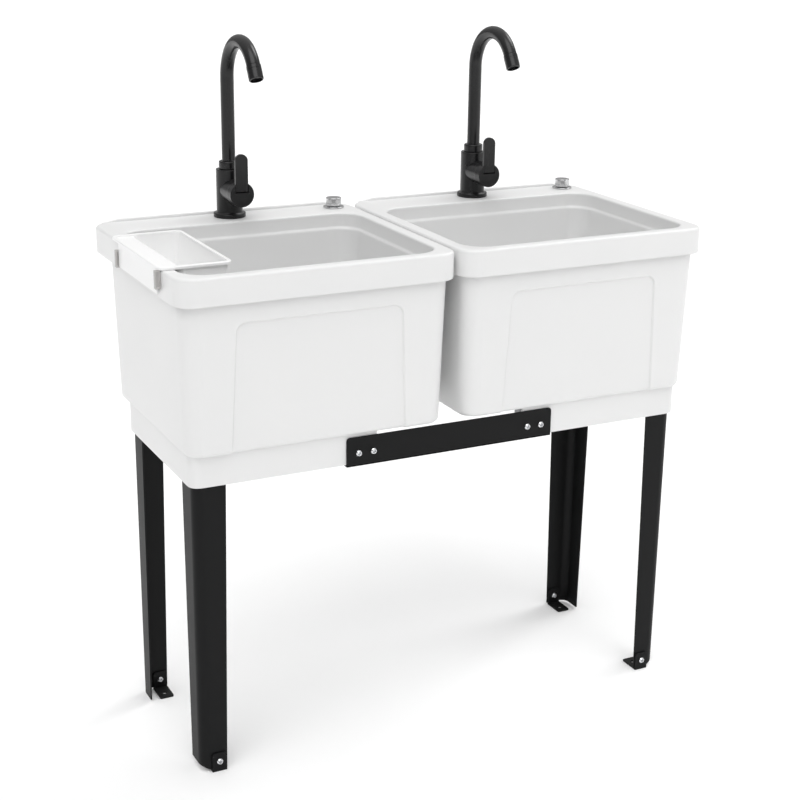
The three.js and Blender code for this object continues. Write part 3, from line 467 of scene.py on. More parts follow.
def boxOf(node):
    low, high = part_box(node)
    return [v / mm for v in low], [v / mm for v in high]


def middleOf(node):
    low, high = boxOf(node)
    return [(a + b) / 2 for a, b in zip(low, high)]


# The moulded tubs. The short curves are (inset, rise) pairs, in the order of the section.
tubShape = {
    "halfWidth": 241.75, "frontY": -227.0, "backY": 227.0, "leastCorner": 1.0, "sharpAngle": 40,
    "rimTop": 864.0, "rimBottom": 818.5, "rimWall": 4.0, "rimCorner": 34.0, "rimRound": 5.0, "rimSteps": 6,
    "deck": 9.0, "wallEnd": 3.0, "underDeck": ((1.0, 0.0), (0.0, -2.0)),
    "footInside": ((0.0, 1.0), (-1.0, 0.0)), "footOutside": ((1.2, 0.0), (0.3, 0.5), (0.0, 1.6)),
    "bodyHalfTop": 231.75, "draft": 6.0, "bodyFrontTop": -217.0, "bodyBackTop": 170.0, "bodyCorner": 30.0,
    "bodyBottom": 569.3, "bodyRound": 8.0, "bodySteps": 7, "lowerLevels": (620.0, 680.0, 735.0),
    "upperLevel": 802.0,
    "bowlHalf": 218.75, "bowlFront": -204.0, "bowlBack": 142.0, "bowlCorner": 42.0, "bowlDraft": 8.0,
    "bowlEdge": 4.0, "bowlEdgeSteps": 5,
    "floor": 580.0, "floorRound": 26.0, "floorSteps": 9, "fallStart": 3.0, "fallEase": 0.2,
    "drainY": -36.0, "drainFloor": 574.0, "drainRadius": 44.0, "drainMargin": 4.0, "sleeveRadius": 31.3,
}
# The ledge's insets are shares of its width.
ledgeShape = {
    "depth": 26.0, "width": 4.0,
    "curve": ((0.025, 3.0), (0.175, 1.0), (0.45, -0.4), (0.7, -1.5), (0.925, -3.2), (1.0, -6.0)),
}
# The sunk panel of the front, with fine columns and rows of points about its edge.
panelShape = {
    "topHalf": 143.0, "bottomHalf": 153.0, "top": 785.0, "depth": 3.5, "corner": 16.0, "slope": 1.0,
    "fineFrom": -21.5, "fineCount": 26, "fineEnd": 14.0, "middleInset": 26.0, "middleSpans": 7,
}


def panelHalf(z):
    p = panelShape
    down = (p["top"] - z) / (p["top"] - tubShape["bodyBottom"])
    return p["topHalf"] + (p["bottomHalf"] - p["topHalf"]) * min(max(down, 0), 1)


def frontSamples(z):
    p = panelShape
    half = panelHalf(z)
    right = [half + p["fineFrom"] + k for k in range(p["fineCount"])] + [half + p["fineEnd"], math.inf]
    spans = p["middleSpans"]
    middle = [(-1 + 2 * k / spans) * (half - p["middleInset"]) for k in range(spans + 1)]
    return [-x for x in reversed(right)] + middle + right


def panelSink(x, z):
    p = panelShape
    r, slope = p["corner"], p["slope"]
    px = abs(x) - (panelHalf(z) - r)
    pz = z - (p["top"] - r)
    outside = math.hypot(max(px, 0), max(pz, 0)) + min(max(px, pz), 0) - r
    return p["depth"] * smooth(min(max((slope - outside) / (2 * slope), 0), 1))


def tubRing(half, front, back, corner, inset, z):
    box = (-half, half, front, back, corner)
    return roundedRing(box, tubShape["leastCorner"], inset, z, frontSamples(z))


def bodyRing(z, inset=0.0):
    s = tubShape
    draft = s["draft"] * (s["rimBottom"] - min(z, s["rimBottom"])) / (s["rimBottom"] - s["bodyBottom"])
    half, front, back = s["bodyHalfTop"] - draft, s["bodyFrontTop"] + draft, s["bodyBackTop"] - draft
    ring = tubRing(half, front, back, s["bodyCorner"], inset, z)
    onFront = 1e-6  # how near the front face a point lies that sinks with the panel
    return [(x, y + panelSink(x, z) if abs(y - front - inset) < onFront else y, z) for x, y, z in ring]


def rimRing(inset, z):
    s = tubShape
    return tubRing(s["halfWidth"], s["frontY"], s["backY"], s["rimCorner"], inset, z)


def bowlRing(inset, z):
    s = tubShape
    return tubRing(s["bowlHalf"], s["bowlFront"], s["bowlBack"], s["bowlCorner"], inset, z)


# Draws a ring in to a circle round the drain.
def towardDrain(ring, radius, z):
    drainY = tubShape["drainY"]
    circle = []
    for x, y, _ in ring:
        length = math.hypot(x, y - drainY)
        circle.append((x / length * radius, drainY + (y - drainY) / length * radius, z))
    return circle


# The section runs up the outside, over the rim, down the bowl and out through the drain.
def tubShell():
    s = tubShape
    bottom, r = s["bodyBottom"], s["bodyRound"]
    rings = [towardDrain(bodyRing(bottom, r), s["sleeveRadius"], bottom)]
    rings += [bodyRing(bottom + r * (1 - sin), r * (1 - cos)) for cos, sin in reversed(arc(s["bodySteps"]))]
    panelRows = [panelShape["top"] + panelShape["fineFrom"] + k for k in range(panelShape["fineCount"])]
    rings += [bodyRing(z) for z in (*s["lowerLevels"], *panelRows, s["upperLevel"], s["rimBottom"])]

    wall, under, foot = s["rimWall"], s["rimTop"] - s["deck"], s["rimBottom"]
    rings.append(bodyRing(under - s["wallEnd"]))
    rings += [rimRing(wall + inset, under + rise) for inset, rise in s["underDeck"]]
    rings += [rimRing(wall + inset, foot + rise) for inset, rise in s["footInside"]]
    rings += [rimRing(inset, foot + rise) for inset, rise in s["footOutside"]]

    top, r, edge = s["rimTop"], s["rimRound"], s["bowlEdge"]
    rings += [rimRing(r * (1 - cos), top - r + r * sin) for cos, sin in arc(s["rimSteps"])]
    rings += [bowlRing(edge * (sin - 1), top - edge * (1 - cos)) for cos, sin in arc(s["bowlEdgeSteps"])]
    width, ledge = ledgeShape["width"], top - ledgeShape["depth"]
    rings += [bowlRing(width * share, ledge + rise) for share, rise in ledgeShape["curve"]]

    deep, floor, r = width + s["bowlDraft"], s["floor"], s["floorRound"]
    rings += [bowlRing(deep + r * (1 - cos), floor + r * (1 - sin)) for cos, sin in arc(s["floorSteps"])]
    fall = bowlRing(deep + r + s["fallStart"], floor - s["fallEase"])
    rings += [fall, towardDrain(fall, s["drainRadius"] + s["drainMargin"], s["drainFloor"] + s["fallEase"])]
    rings.append(towardDrain(fall, s["sleeveRadius"], s["drainFloor"]))
    return loftRings(rings, loop=True)


# The narrower band under each tub, open towards the other one.
bandShape = {
    "bottom": 516.5, "top": 572.2, "half": 219.75, "front": -200.0, "back": 130.0, "inner": 105.75,
    "corner": 22.0, "cornerSteps": 12, "wall": 5.0, "soften": 1.0,
}


def bandOutline(inset):
    s = bandShape
    outer, front, back = -s["half"] + inset, s["front"] + inset, s["back"] - inset
    corner = s["corner"] - inset
    return filletPath([
        (s["inner"], front, 0), (outer, front, corner), (outer, back, corner), (s["inner"], back, 0),
    ], closed=False, steps=s["cornerSteps"])


def bandShell(side):
    top, bottom = bandShape["top"], bandShape["bottom"]
    flip = 1 if side == "left" else -1
    rings = []
    for (ox, oy), (ix, iy) in zip(bandOutline(0), bandOutline(bandShape["wall"])):
        ox, ix = flip * ox, flip * ix
        rings.append([(ox, oy, top), (ox, oy, bottom), (ix, iy, bottom), (ix, iy, top)])
    return loftRings(rings)


# The low lip along the back of the deck, which sinks into it at both ends.
lipShape = {
    "height": 5.0, "width": 6.0, "fromBack": 1.5, "root": 2.0, "round": 3.0, "roundSteps": 5,
    "cornerShare": 0.55, "stations": 12, "tailFrom": 7, "tail": 30.0, "fadeStations": 6, "sunk": 0.6,
    "soften": 1.0,
}


def lipShell():
    s = lipShape
    top, last = tubShape["rimTop"], s["stations"]
    half = tubShape["halfWidth"] - tubShape["rimCorner"] * s["cornerShare"]
    far = tubShape["backY"] - s["fromBack"]
    near = far - s["width"]
    profile = rectangle(near, far, top - s["root"], top + s["height"], 0, s["round"])
    profile = filletPath(profile, steps=s["roundSteps"])
    base = top - s["sunk"]
    rings = []
    for k in range(-last, last + 1):
        left = last - abs(k)  # stations left to the end
        fade = smooth(min(1.0, (left + 0.5) / s["fadeStations"]))
        x = half * k / last
        if abs(k) >= s["tailFrom"]:
            x = math.copysign(half - s["tail"] * left / (last - s["tailFrom"]), k)
        rings.append([(x, y, z if z < top else base + (z - base) * fade) for y, z in profile])
    return loftRings(rings)


for side in sides:
    middleX = middleOf(side + "_tub")[0]
    tub, band, lip = (movedX(shell, middleX) for shell in (tubShell(), bandShell(side), lipShell()))
    makePiece(side + "_tubShell", tub, "tub_plastic", [side + "_tub"], sharp=tubShape["sharpAngle"])
    makePiece(side + "_baseBand", band, "tub_plastic", [side + "_base_band"], bandShape["soften"])
    makePiece(side + "_backLip", lip, "tub_plastic", bevel=lipShape["soften"])
print("stage: tubs made")

# The legs are bent angles that narrow downwards. The front feet are cut back at the corner.
legShape = {
    "topFlange": 56.0, "footFlange": 46.0, "wall": 2.5, "bend": 17.0, "bendSteps": 14,
    "trimFrom": 18.5, "trimRise": 10.0, "trimEase": 1.0, "soften": 0.4,
}


# One end of a leg; flipX and flipY turn the angle's corner outwards.
def legRing(flange, corner, flipX, flipY, z, trimmed=False):
    s = legShape
    outer, inner, wall, start = s["bend"], s["bend"] - s["wall"], s["wall"], s["trimFrom"]
    bend = arc(s["bendSteps"])
    ring = [(-flange, -wall), (-start, -wall)]
    ring += [(inner * cos - outer, inner * sin - outer) for cos, sin in reversed(bend)]
    ring += [(-wall, -flange), (0, -flange)]
    ring += [(outer * cos - outer, outer * sin - outer) for cos, sin in bend]
    ring += [(-start, 0), (-flange, 0)]
    rise = s["trimRise"] / (start + s["trimEase"]) if trimmed else 0
    return [(corner[0] + flipX * x, corner[1] + flipY * y, z + rise * max(0, x + start)) for x, y in ring]


for end, side in corners:
    name = f"{end}_{side}_leg"
    low, high = boxOf(name)
    flipX = -1 if side == "left" else 1
    flipY = -1 if end == "front" else 1
    corner = (low[0] if flipX < 0 else high[0], low[1] if flipY < 0 else high[1])
    foot = legRing(legShape["footFlange"], corner, flipX, flipY, low[2], end == "front")
    head = legRing(legShape["topFlange"], corner, flipX, flipY, high[2])
    makePiece(name + "Steel", loftRings([foot, head]), "leg_black", [name], legShape["soften"])


# The Y of a piece's outer face and of its far end, and the sign of the way inwards.
def outerFace(end, low, high):
    return (low[1], high[1], 1) if end == "front" else (high[1], low[1], -1)


# An upright plate with round upper corners, on the outer face of its box.
def uprightPlate(end, low, high, wall, corner, cornerSteps):
    outerY, _, inward = outerFace(end, low, high)
    outline = filletPath(rectangle(low[0], high[0], low[2], high[2], 0, corner), steps=cornerSteps)
    return extrudeAlongY(outline, *sorted((outerY, outerY + inward * wall)))


bracketShape = {
    "wall": 3.0, "corner": 6.0, "cornerSteps": 8, "toeCorner": 4.0, "toeSteps": 6, "toeInset": 1.0,
    "hole": 4.0, "holeFromPlate": 27.0, "soften": 0.5,
}
for end, side in corners:
    b = bracketShape
    name = f"{end}_{side}_foot_bracket"
    low, high = boxOf(name)
    plate = uprightPlate(end, low, high, b["wall"], b["corner"], b["cornerSteps"])
    outerY, tipY, inward = outerFace(end, low, high)
    rootY = outerY + inward * b["toeInset"]
    toe = filletPath(rectangle(low[0], high[0], rootY, tipY, 0, b["toeCorner"]), steps=b["toeSteps"])
    hole = circleLoop((low[0] + high[0]) / 2, outerY + inward * b["holeFromPlate"], b["hole"])
    bracket = joinShells(plate, plateWithHoles(toe, [hole], low[2], low[2] + b["wall"]))
    makePiece(name + "Steel", bracket, "leg_black", [name], b["soften"])

railShape = {"wall": 3.0, "corner": 7.0, "cornerSteps": 10, "soften": 0.6}
for end in ends:
    r = railShape
    name = end + "_rail"
    low, high = boxOf(name)
    plate = uprightPlate(end, low, high, r["wall"], r["corner"], r["cornerSteps"])
    flange = filletPath(rectangle(low[0], high[0], low[2], low[2] + r["wall"]))
    flange = extrudeAlongY(flange, low[1], high[1])
    makePiece(name + "Steel", joinShells(plate, flange), "leg_black", [name], r["soften"])

# Screws with a round head and a socket, and a nut at the far end.
screwShape = {
    "shank": 3.0, "headHeight": 3.8, "headSteps": 8, "headCount": 48, "crownShare": 0.7, "crownRound": 3.0,
    "sideHeight": 1.71, "sideRound": 1.5, "socket": 2.9, "socketFloor": 0.38, "socketFloorShare": 0.8,
    "socketEdge": 3.572, "socketLip": 0.3, "nutHeight": 5.0, "nutRadius": 5.6, "nutInset": 1.0,
    "soften": 0.15,
}


def screwShell(headRadius, length):
    s = screwShape
    top, tip, socket = s["headHeight"], s["headHeight"] - length, s["socket"]
    profile = [(0, s["socketFloor"]), (socket * s["socketFloorShare"], s["socketFloor"])]
    profile.append((socket, s["socketEdge"]))
    profile += filletPath([
        (socket + s["socketLip"], top, 0), (headRadius * s["crownShare"], top, s["crownRound"]),
        (headRadius, s["sideHeight"], s["sideRound"]), (headRadius, 0, 0),
    ], closed=False, steps=s["headSteps"])
    profile += [(s["shank"], 0), (s["shank"], tip), (0, tip)]
    head = lathe(list(reversed(profile)), count=s["headCount"])
    nutLow = tip + s["nutInset"]
    return joinShells(head, rod(s["nutRadius"], nutLow, nutLow + s["nutHeight"], count=6))


for node in sorted(frame["nodes"]):
    if not (node.endswith("_foot_bolt") or "_rail_bolt_" in node):
        continue
    low, high = boxOf(node)
    x, _, z = middleOf(node)
    headAtFront = not node.startswith("back_rail")
    direction = (0, -1, 0) if headAtFront else (0, 1, 0)
    headHeight = screwShape["headHeight"]
    headY = low[1] + headHeight if headAtFront else high[1] - headHeight
    screw = screwShell((high[2] - low[2]) / 2, high[1] - low[1])
    screw = laid(screw, direction, (x, headY, z))
    makePiece(node + "Zinc", screw, "zinc_screw", [node], screwShape["soften"])
print("stage: stand made")

# The faucets. Heights are above the deck; the nozzle's points are (inset, height) pairs.
faucetShape = {
    "flangeRadius": 28.5, "flangeHeight": 8.0, "flangeRound": 3.0, "neckRound": 4.0,
    "bodyRadius": 23.0, "bodyHeight": 85.0, "bodyRound": 1.5, "roundSteps": 7, "soften": 0.5,
    "hubHeight": 49.0, "hubRadius": 21.0, "hubStart": 5.0, "hubLength": 44.0,
    "shankRadius": 13.5, "shankLength": 46.0, "shankTop": 2.0,
    "collarRadius": 17.5, "collarHeight": 14.0, "collarFootRound": 1.0, "collarRound": 3.0,
    "tubeRadius": 11.8, "tubeCount": 40, "archRadius": 67.5, "archCentre": 243.0, "archSweep": 150.0,
    "archSteps": 56,
    "nozzleRadius": 12.6, "nozzleLength": 26.0,
    "nozzleBand": ((1.0, 0.3), (0.0, 1.2), (0.0, 7.2), (0.5, 7.5), (0.5, 8.1), (0.0, 8.4)),
    "nozzleMouth": ((0.0, -1.2), (1.0, 0.0), (2.4, 0.0), (3.0, -4.0)),
}


def columnShell(x, y, z):
    s = faucetShape
    column = turned([
        (0, seatGap, 0), (s["flangeRadius"], seatGap, 0),
        (s["flangeRadius"], s["flangeHeight"], s["flangeRound"]),
        (s["bodyRadius"], s["flangeHeight"], s["neckRound"]),
        (s["bodyRadius"], s["bodyHeight"], s["bodyRound"]), (0, s["bodyHeight"], 0),
    ], s["roundSteps"], (x, y, z), count=80)
    hub = rod(s["hubRadius"], s["hubStart"], s["hubLength"], count=72)
    hub = laid(hub, (0, -1, 0), (x, y, z + s["hubHeight"]))
    shank = rod(s["shankRadius"], -s["shankLength"], s["shankTop"], (x, y, z), count=48)
    return joinShells(column, hub, shank)


def collarShell(x, y, z):
    s = faucetShape
    r, foot = s["collarRadius"], s["bodyHeight"] + seatGap
    top = foot + s["collarHeight"]
    return turned([
        (0, foot, 0), (r, foot, s["collarFootRound"]), (r, top, s["collarRound"]), (0, top, 0),
    ], s["roundSteps"], (x, y, z), count=72)


# Where the arch is after a turn, from the column's foot.
def archPoint(turn):
    s = faucetShape
    return s["archRadius"] * (math.cos(turn) - 1), s["archCentre"] + s["archRadius"] * math.sin(turn)


def spoutTube(x, y, z):
    s = faucetShape
    foot = s["bodyHeight"] + s["collarHeight"] + 2 * seatGap
    stations = [(0, foot, 0.0), (0, (foot + s["archCentre"]) / 2, 0.0)]
    for k in range(s["archSteps"] + 1):
        turn = math.radians(s["archSweep"] * k / s["archSteps"])
        stations.append((*archPoint(turn), turn))
    section = circleLoop(0, 0, s["tubeRadius"], s["tubeCount"])
    return loftRings([
        [(x + u, y + along + v * math.cos(turn), z + up + v * math.sin(turn)) for u, v in section]
        for along, up, turn in stations
    ])


def nozzleShell(x, y, z):
    s = faucetShape
    turn = math.radians(s["archSweep"])
    along, up = archPoint(turn)
    r, length = s["nozzleRadius"], s["nozzleLength"]
    profile = [(0, seatGap)] + [(r - inset, height) for inset, height in s["nozzleBand"]]
    profile += [(r - inset, length + height) for inset, height in s["nozzleMouth"]]
    profile.append((0, profile[-1][1]))
    return laid(lathe(profile, count=56), (0, -math.sin(turn), math.cos(turn)), (x, y + along, z + up))


# The turning cap has a slot in its face, and the lever tilts in the slot.
capShape = {
    "radius": 22.0, "backRound": 0.6, "backSteps": 4, "slotHalf": 12.1, "slotDepth": 12.2, "slotFloor": 3.4,
    "faceSteps": 64, "soften": 0.5,
}
leverShape = {
    "half": 11.5, "height": 61.5, "below": 3.8, "thickness": 7.0, "boss": 5.5, "tipSteps": 24, "soften": 0.8,
}


def capShells(centre, backY, frontY):
    s = capShape
    r = s["radius"]
    slotBack = frontY + s["slotDepth"]
    deep = backY - slotBack
    disc = turned([(0, 0, 0), (r, 0, s["backRound"]), (r, deep, 0), (0, deep, 0)], s["backSteps"], count=72)
    disc = laid(disc, (0, -1, 0), (centre[0], backY, centre[2]))
    start = math.asin(s["slotHalf"] / r)
    outline = []
    for i in range(s["faceSteps"] + 1):
        angle = math.pi / 2 + start + 2 * (math.pi - start) * i / s["faceSteps"]
        outline.append((r * math.cos(angle), r * math.sin(angle)))
    outline += [(s["slotHalf"], s["slotFloor"]), (-s["slotHalf"], s["slotFloor"])]
    face = extrudeAlongY(outline, frontY, slotBack, (centre[0], centre[2]))
    return joinShells(disc, face)


def leverShell(x, y, z):
    s = leverShape
    half, tip = s["half"], s["height"] - s["half"]
    outline = [(-half, -s["below"]), (half, -s["below"])]
    for k in range(s["tipSteps"] + 1):
        angle = math.pi * k / s["tipSteps"]
        outline.append((half * math.cos(angle), tip + half * math.sin(angle)))
    front = y - s["boss"]
    paddle = extrudeAlongY(outline, front, front + s["thickness"], (x, z))
    boss = laid(rod(s["boss"], -half, half, count=40), (1, 0, 0), (x, y, z))
    return joinShells(paddle, boss)


for side in sides:
    x, y, _ = middleOf(side + "_spout_collar")
    z = tubShape["rimTop"]
    low, high = boxOf(side + "_temperature_cap")
    spout = side + "_spout"
    cap = capShells((x, y, z + faucetShape["hubHeight"]), high[1], low[1])
    lever = leverShell(*middleOf(side + "_lever_pin"))
    for name, shell, body, node, bevel in (
        ("_faucetColumn", columnShell(x, y, z), "sink", "_faucet_body", faucetShape["soften"]),
        ("_collarTurned", collarShell(x, y, z), spout, "_spout_collar", 0),
        ("_spoutTube", spoutTube(x, y, z), spout, "_gooseneck_spout", 0),
        ("_outletSleeve", nozzleShell(x, y, z), spout, "_aerator", 0),
        ("_capTurned", cap, side + "_temperature_control", "_temperature_cap", capShape["soften"]),
        ("_leverPaddle", lever, side + "_lever_handle", "_lever", leverShape["soften"]),
    ):
        makePiece(side + name, shell, "faucet_black", [side + node], bevel, body)
print("stage: faucets made")


# A ring in a hole, with a sleeve down through it.
def bushShell(place, shape, foot, radius):
    bore, sleeve, top, rounds = (shape[key] for key in ("bore", "sleeve", "top", "rounds"))
    return turned([
        (bore, foot, 0), (sleeve, foot, 0), (sleeve, seatGap, 0), (radius, seatGap, rounds[0]),
        (radius, top, rounds[1]), (bore, top, rounds[2]),
    ], shape["bushSteps"], place, count=72, closed=True)


# A turned head on a stem, which goes down through the bore.
def headShell(place, shape, foot, outline, middle):
    stem = shape["stem"]
    points = [(0, foot, 0), (stem, foot, 0), (stem, shape["seat"], 0), *outline, (0, middle, 0)]
    return turned(points, shape["headSteps"], place, count=72)


# The waste knobs. The grooves and the crown are (radius past the rim, height, rounding).
knobShape = {
    "bore": 4.3, "sleeve": 10.0, "top": 2.9, "rounds": (0.4, 1.2, 0), "bushSteps": 5,
    "stem": 4.0, "seat": 4.4, "headSteps": 7, "crownDip": -4.4,
    "grooves": (
        (-1.6, 4.4, 0.4), (-1.6, 6.4, 0.3), (0.0, 6.6, 0.4), (0.0, 8.2, 0.3), (-0.5, 8.6, 0.2),
        (-0.5, 9.2, 0.2), (0.0, 9.6, 0.3),
    ),
    "crown": ((0.0, -4.2, 2.0), (-3.0, -4.0, 1.0)),
}
# The waste in each floor. The plug's dish is (radius, height above its seat, rounding).
wasteShape = {
    "bore": 27.0, "sleeve": 31.0, "flange": 45.0, "foot": -26.0, "top": 2.8, "rounds": (0, 2.0, 4.0),
    "bushSteps": 6, "stem": 3.6, "seat": 3.1, "headSteps": 6,
    "dish": ((37.0, 0.0, 0.8), (37.0, 3.0, 1.5), (19.0, 5.0, 4.0), (8.0, 5.5, 2.0), (7.0, 10.0, 2.0)),
}
for side in sides:
    k, w = knobShape, wasteShape
    x, y, _ = middleOf(side + "_waste_knob_base")
    z = tubShape["rimTop"]
    low, high = boxOf(side + "_waste_knob_base")
    rosette = bushShell((x, y, z), k, low[2] - z, (high[0] - low[0]) / 2)
    makePiece(side + "_knobRosette", rosette, "knob_chrome", [side + "_waste_knob_base"])
    low, high = boxOf(side + "_waste_knob")
    rim, top = (high[0] - low[0]) / 2, high[2] - z
    outline = [(rim + past, height, rounding) for past, height, rounding in k["grooves"]]
    outline += [(rim + past, top + height, rounding) for past, height, rounding in k["crown"]]
    knob = headShell((x, y, z), k, low[2] - z, outline, top + k["crownDip"])
    makePiece(side + "_knobTurned", knob, "knob_chrome", [side + "_waste_knob"], body=side + "_waste_control")

    x, y, _ = middleOf(side + "_drain_plug")
    z = tubShape["drainFloor"]
    flange = bushShell((x, y, z), w, w["foot"], w["flange"])
    makePiece(side + "_flangeTurned", flange, "stainless", [side + "_drain_flange"])
    low, high = boxOf(side + "_drain_plug")
    outline = [(radius, w["seat"] + height, rounding) for radius, height, rounding in w["dish"]]
    plug = headShell((x, y, z), w, low[2] - z, outline, high[2] - z)
    makePiece(side + "_plugTurned", plug, "stainless", [side + "_drain_plug"], body=side + "_plug")
print("stage: wastes made")

# The drain bodies under the tubs, each with a side port for the control.
drainShape = {
    "neck": 31.3, "cup": 36.0, "cupRound": 0.8, "cupSide": 14.0, "sideRound": 1.0, "cupHeight": 46.0,
    "waist": 34.0, "waistRise": 16.0, "waistRound": 5.0, "tail": 20.0, "tailWall": 2.0, "tailDrop": 2.0,
    "tailRound": 4.0, "insideDrop": 18.0, "insideRound": 6.0, "roundSteps": 6,
    "port": 6.0, "portDrop": 28.0, "portGap": 0.5, "soften": 0.5,
}
for side in sides:
    d = drainShape
    x, y, _ = middleOf(side + "_drain_plug")
    low, high = boxOf(side + "_drain_body")
    top, cupBottom = high[2], high[2] - d["cupHeight"]
    tail, bore = d["tail"], d["tail"] - d["tailWall"]
    cup = turned([
        (d["neck"], top, 0), (d["cup"], top, d["cupRound"]), (d["cup"], top - d["cupSide"], d["sideRound"]),
        (d["waist"], cupBottom + d["waistRise"], d["waistRound"]),
        (tail, cupBottom - d["tailDrop"], d["tailRound"]), (tail, low[2], 0), (bore, low[2], 0),
        (bore, cupBottom, d["tailRound"]), (d["neck"], top - d["insideDrop"], d["insideRound"]),
    ], d["roundSteps"], (x, y, 0), closed=True)
    port = rod(d["port"], d["neck"] + d["portGap"], high[1] - y, count=32)
    port = laid(port, (0, 1, 0), (x, y, top - d["portDrop"]))
    makePiece(side + "_drainCup", joinShells(cup, port), "under_sink_grey", [side + "_drain_body"],
              d["soften"])

# The caddy hung over the left rim. Its curves are (inset, rise) pairs, as on the tubs.
caddyShape = {
    "hook": 33.0, "lip": 4.0, "corner": 14.0, "leastCorner": 0.8, "cornerSteps": 10, "sideSamples": 4,
    "rimHeight": 5.0, "rimRound": 2.0, "rimUnder": 0.3, "hairline": 0.01,
    "brimCorner": 10.0, "brimRound": 1.2, "brimSteps": 5, "ledgeDrop": 2.6,
    "ledgeOuter": ((0.1, 0.5), (0.5, 0.0)), "ledgeInner": ((-0.1, -0.1), (0.1, -0.5), (0.4, -1.5)),
    "wall": 2.5, "draft": 7.0, "depth": 96.0,
    "footCurve": ((3.0, 0.0), (1.2, 0.6), (0.2, 2.0), (0.0, 4.0)),
    "floorCurve": ((-0.4, 4.0), (0.0, 1.6), (1.0, 0.5), (2.6, 0.0)),
    "slots": 5, "slotWidth": 5.0, "slotLength": 56.0, "slotGap": 24.0, "slotMargin": 12.0, "slotSteps": 4,
}
apronShape = {"thickness": 3.0, "drop": 44.0, "fromRim": 0.1, "fromTop": 1.5, "soften": 1.0}
clipShape = {"side": 2.0, "below": 4.0, "above": 3.0, "recess": 1.5, "soften": 0.4}


def caddyRing(box, inset, z):
    c, far = caddyShape, (-math.inf, math.inf)
    return roundedRing(box, c["leastCorner"], inset, z, far, c["cornerSteps"], c["sideSamples"])


# Two rows of round-ended slots in the basket's floor.
def caddySlots(basket, middleY):
    c = caddyShape
    firstX = basket[0] + c["draft"] + c["slotMargin"]
    lastX = basket[1] - c["draft"] - c["slotMargin"]
    half, reach = c["slotWidth"] / 2, c["slotLength"] / 2
    slots = []
    for row in (-1, 1):
        y = middleY + row * (c["slotLength"] + c["slotGap"]) / 2
        for i in range(c["slots"]):
            x = firstX + (lastX - firstX) * i / (c["slots"] - 1)
            slot = rectangle(x - half, x + half, y - reach, y + reach, half, half)
            slots.append(filletPath(slot, steps=c["slotSteps"]))
    return slots


# The section runs up the outside of the basket, round the rim and down to the inner floor.
def caddyShell(low, high):
    c = caddyShape
    wall, draft, under = c["wall"], c["draft"], c["rimUnder"]
    outside = (low[0], high[0], low[1], high[1], c["corner"])
    basket = (low[0] + c["hook"], high[0] - c["lip"], low[1] + c["lip"], high[1] - c["lip"], c["corner"])
    brim = c["lip"] + wall
    opening = (low[0] + brim, high[0] - brim, low[1] + brim, high[1] - brim, c["brimCorner"])
    top, bottom = high[2], high[2] - c["depth"]
    rimFoot, ledge, floor = top - c["rimHeight"], top - c["ledgeDrop"], bottom + wall

    rings = [caddyRing(basket, draft + inset, bottom + rise) for inset, rise in c["footCurve"]]
    rings.append(caddyRing(basket, under, rimFoot - c["hairline"]))
    rings += [caddyRing(outside, under, rimFoot), caddyRing(outside, 0, rimFoot + under)]
    quarter, r, b = arc(c["brimSteps"]), c["rimRound"], c["brimRound"]
    rings += [caddyRing(outside, r * (1 - cos), top - r + r * sin) for cos, sin in quarter]
    rings += [caddyRing(opening, b * (sin - 1), top - b * (1 - cos)) for cos, sin in quarter]
    rings += [caddyRing(opening, inset, ledge + rise) for inset, rise in c["ledgeOuter"]]
    rings += [caddyRing(basket, wall + inset, ledge + rise) for inset, rise in c["ledgeInner"]]
    rings += [caddyRing(basket, wall + draft + inset, floor + rise) for inset, rise in c["floorCurve"]]
    verts, faces = loftRings(rings, caps=False)

    slots = caddySlots(basket, (low[1] + high[1]) / 2)
    slotPoints = [p for slot in slots for p in slot]
    count, firstSlot = len(rings[0]), len(verts)
    verts += [(x, y, bottom) for x, y in slotPoints] + [(x, y, floor) for x, y in slotPoints]
    lowerFace = (rings[0], 0, firstSlot)
    upperFace = (rings[-1], firstSlot - count, firstSlot + len(slotPoints))
    for ring, ringStart, slotStart in (lowerFace, upperFace):
        loops = [[(x, y) for x, y, _ in ring]] + slots
        for face in triangles(loops):
            faces.append(tuple(ringStart + i if i < count else slotStart + i - count for i in face))
    return verts, faces + loopWalls(slots, firstSlot, len(slotPoints))


# The apron hangs outside the rim, between the two clips.
def apronShell(low, high, frontY, backY):
    a = apronShape
    left, right = low[0] + a["fromRim"], low[0] + a["thickness"]
    levels = (high[2] - a["drop"], high[2] - a["fromTop"])
    return loftRings([rectangle(left, right, frontY, backY, z, z) for z in levels])


# A block with a recess in its front face.
def clipShell(low, high):
    k = clipShape
    rings = []
    for inset, y in ((0, high[1]), (0, low[1]), (1, low[1]), (1, low[1] + k["recess"])):
        left, right = low[0] + inset * k["side"], high[0] - inset * k["side"]
        down, up = low[2] + inset * k["below"], high[2] - inset * k["above"]
        rings.append([(x, y, z) for x, z, _ in rectangle(left, right, down, up)])
    return loftRings(rings)


low, high = boxOf("caddy")
nearClipEnd = boxOf("caddy_near_clip")[1][1]
farClipStart = boxOf("caddy_far_clip")[0][1]
makePiece("caddyTray", caddyShell(low, high), "caddy_plastic", ["caddy"], body="caddy_body")
apron = apronShell(low, high, nearClipEnd + seatGap, farClipStart - seatGap)
makePiece("caddyApron", apron, "caddy_plastic", bevel=apronShape["soften"], body="caddy_body")
for node in ("caddy_near_clip", "caddy_far_clip"):
    clip = clipShell(*boxOf(node))
    makePiece(node + "Block", clip, "clip_grey", [node], clipShape["soften"], "caddy_body")
print("stage: caddy made")

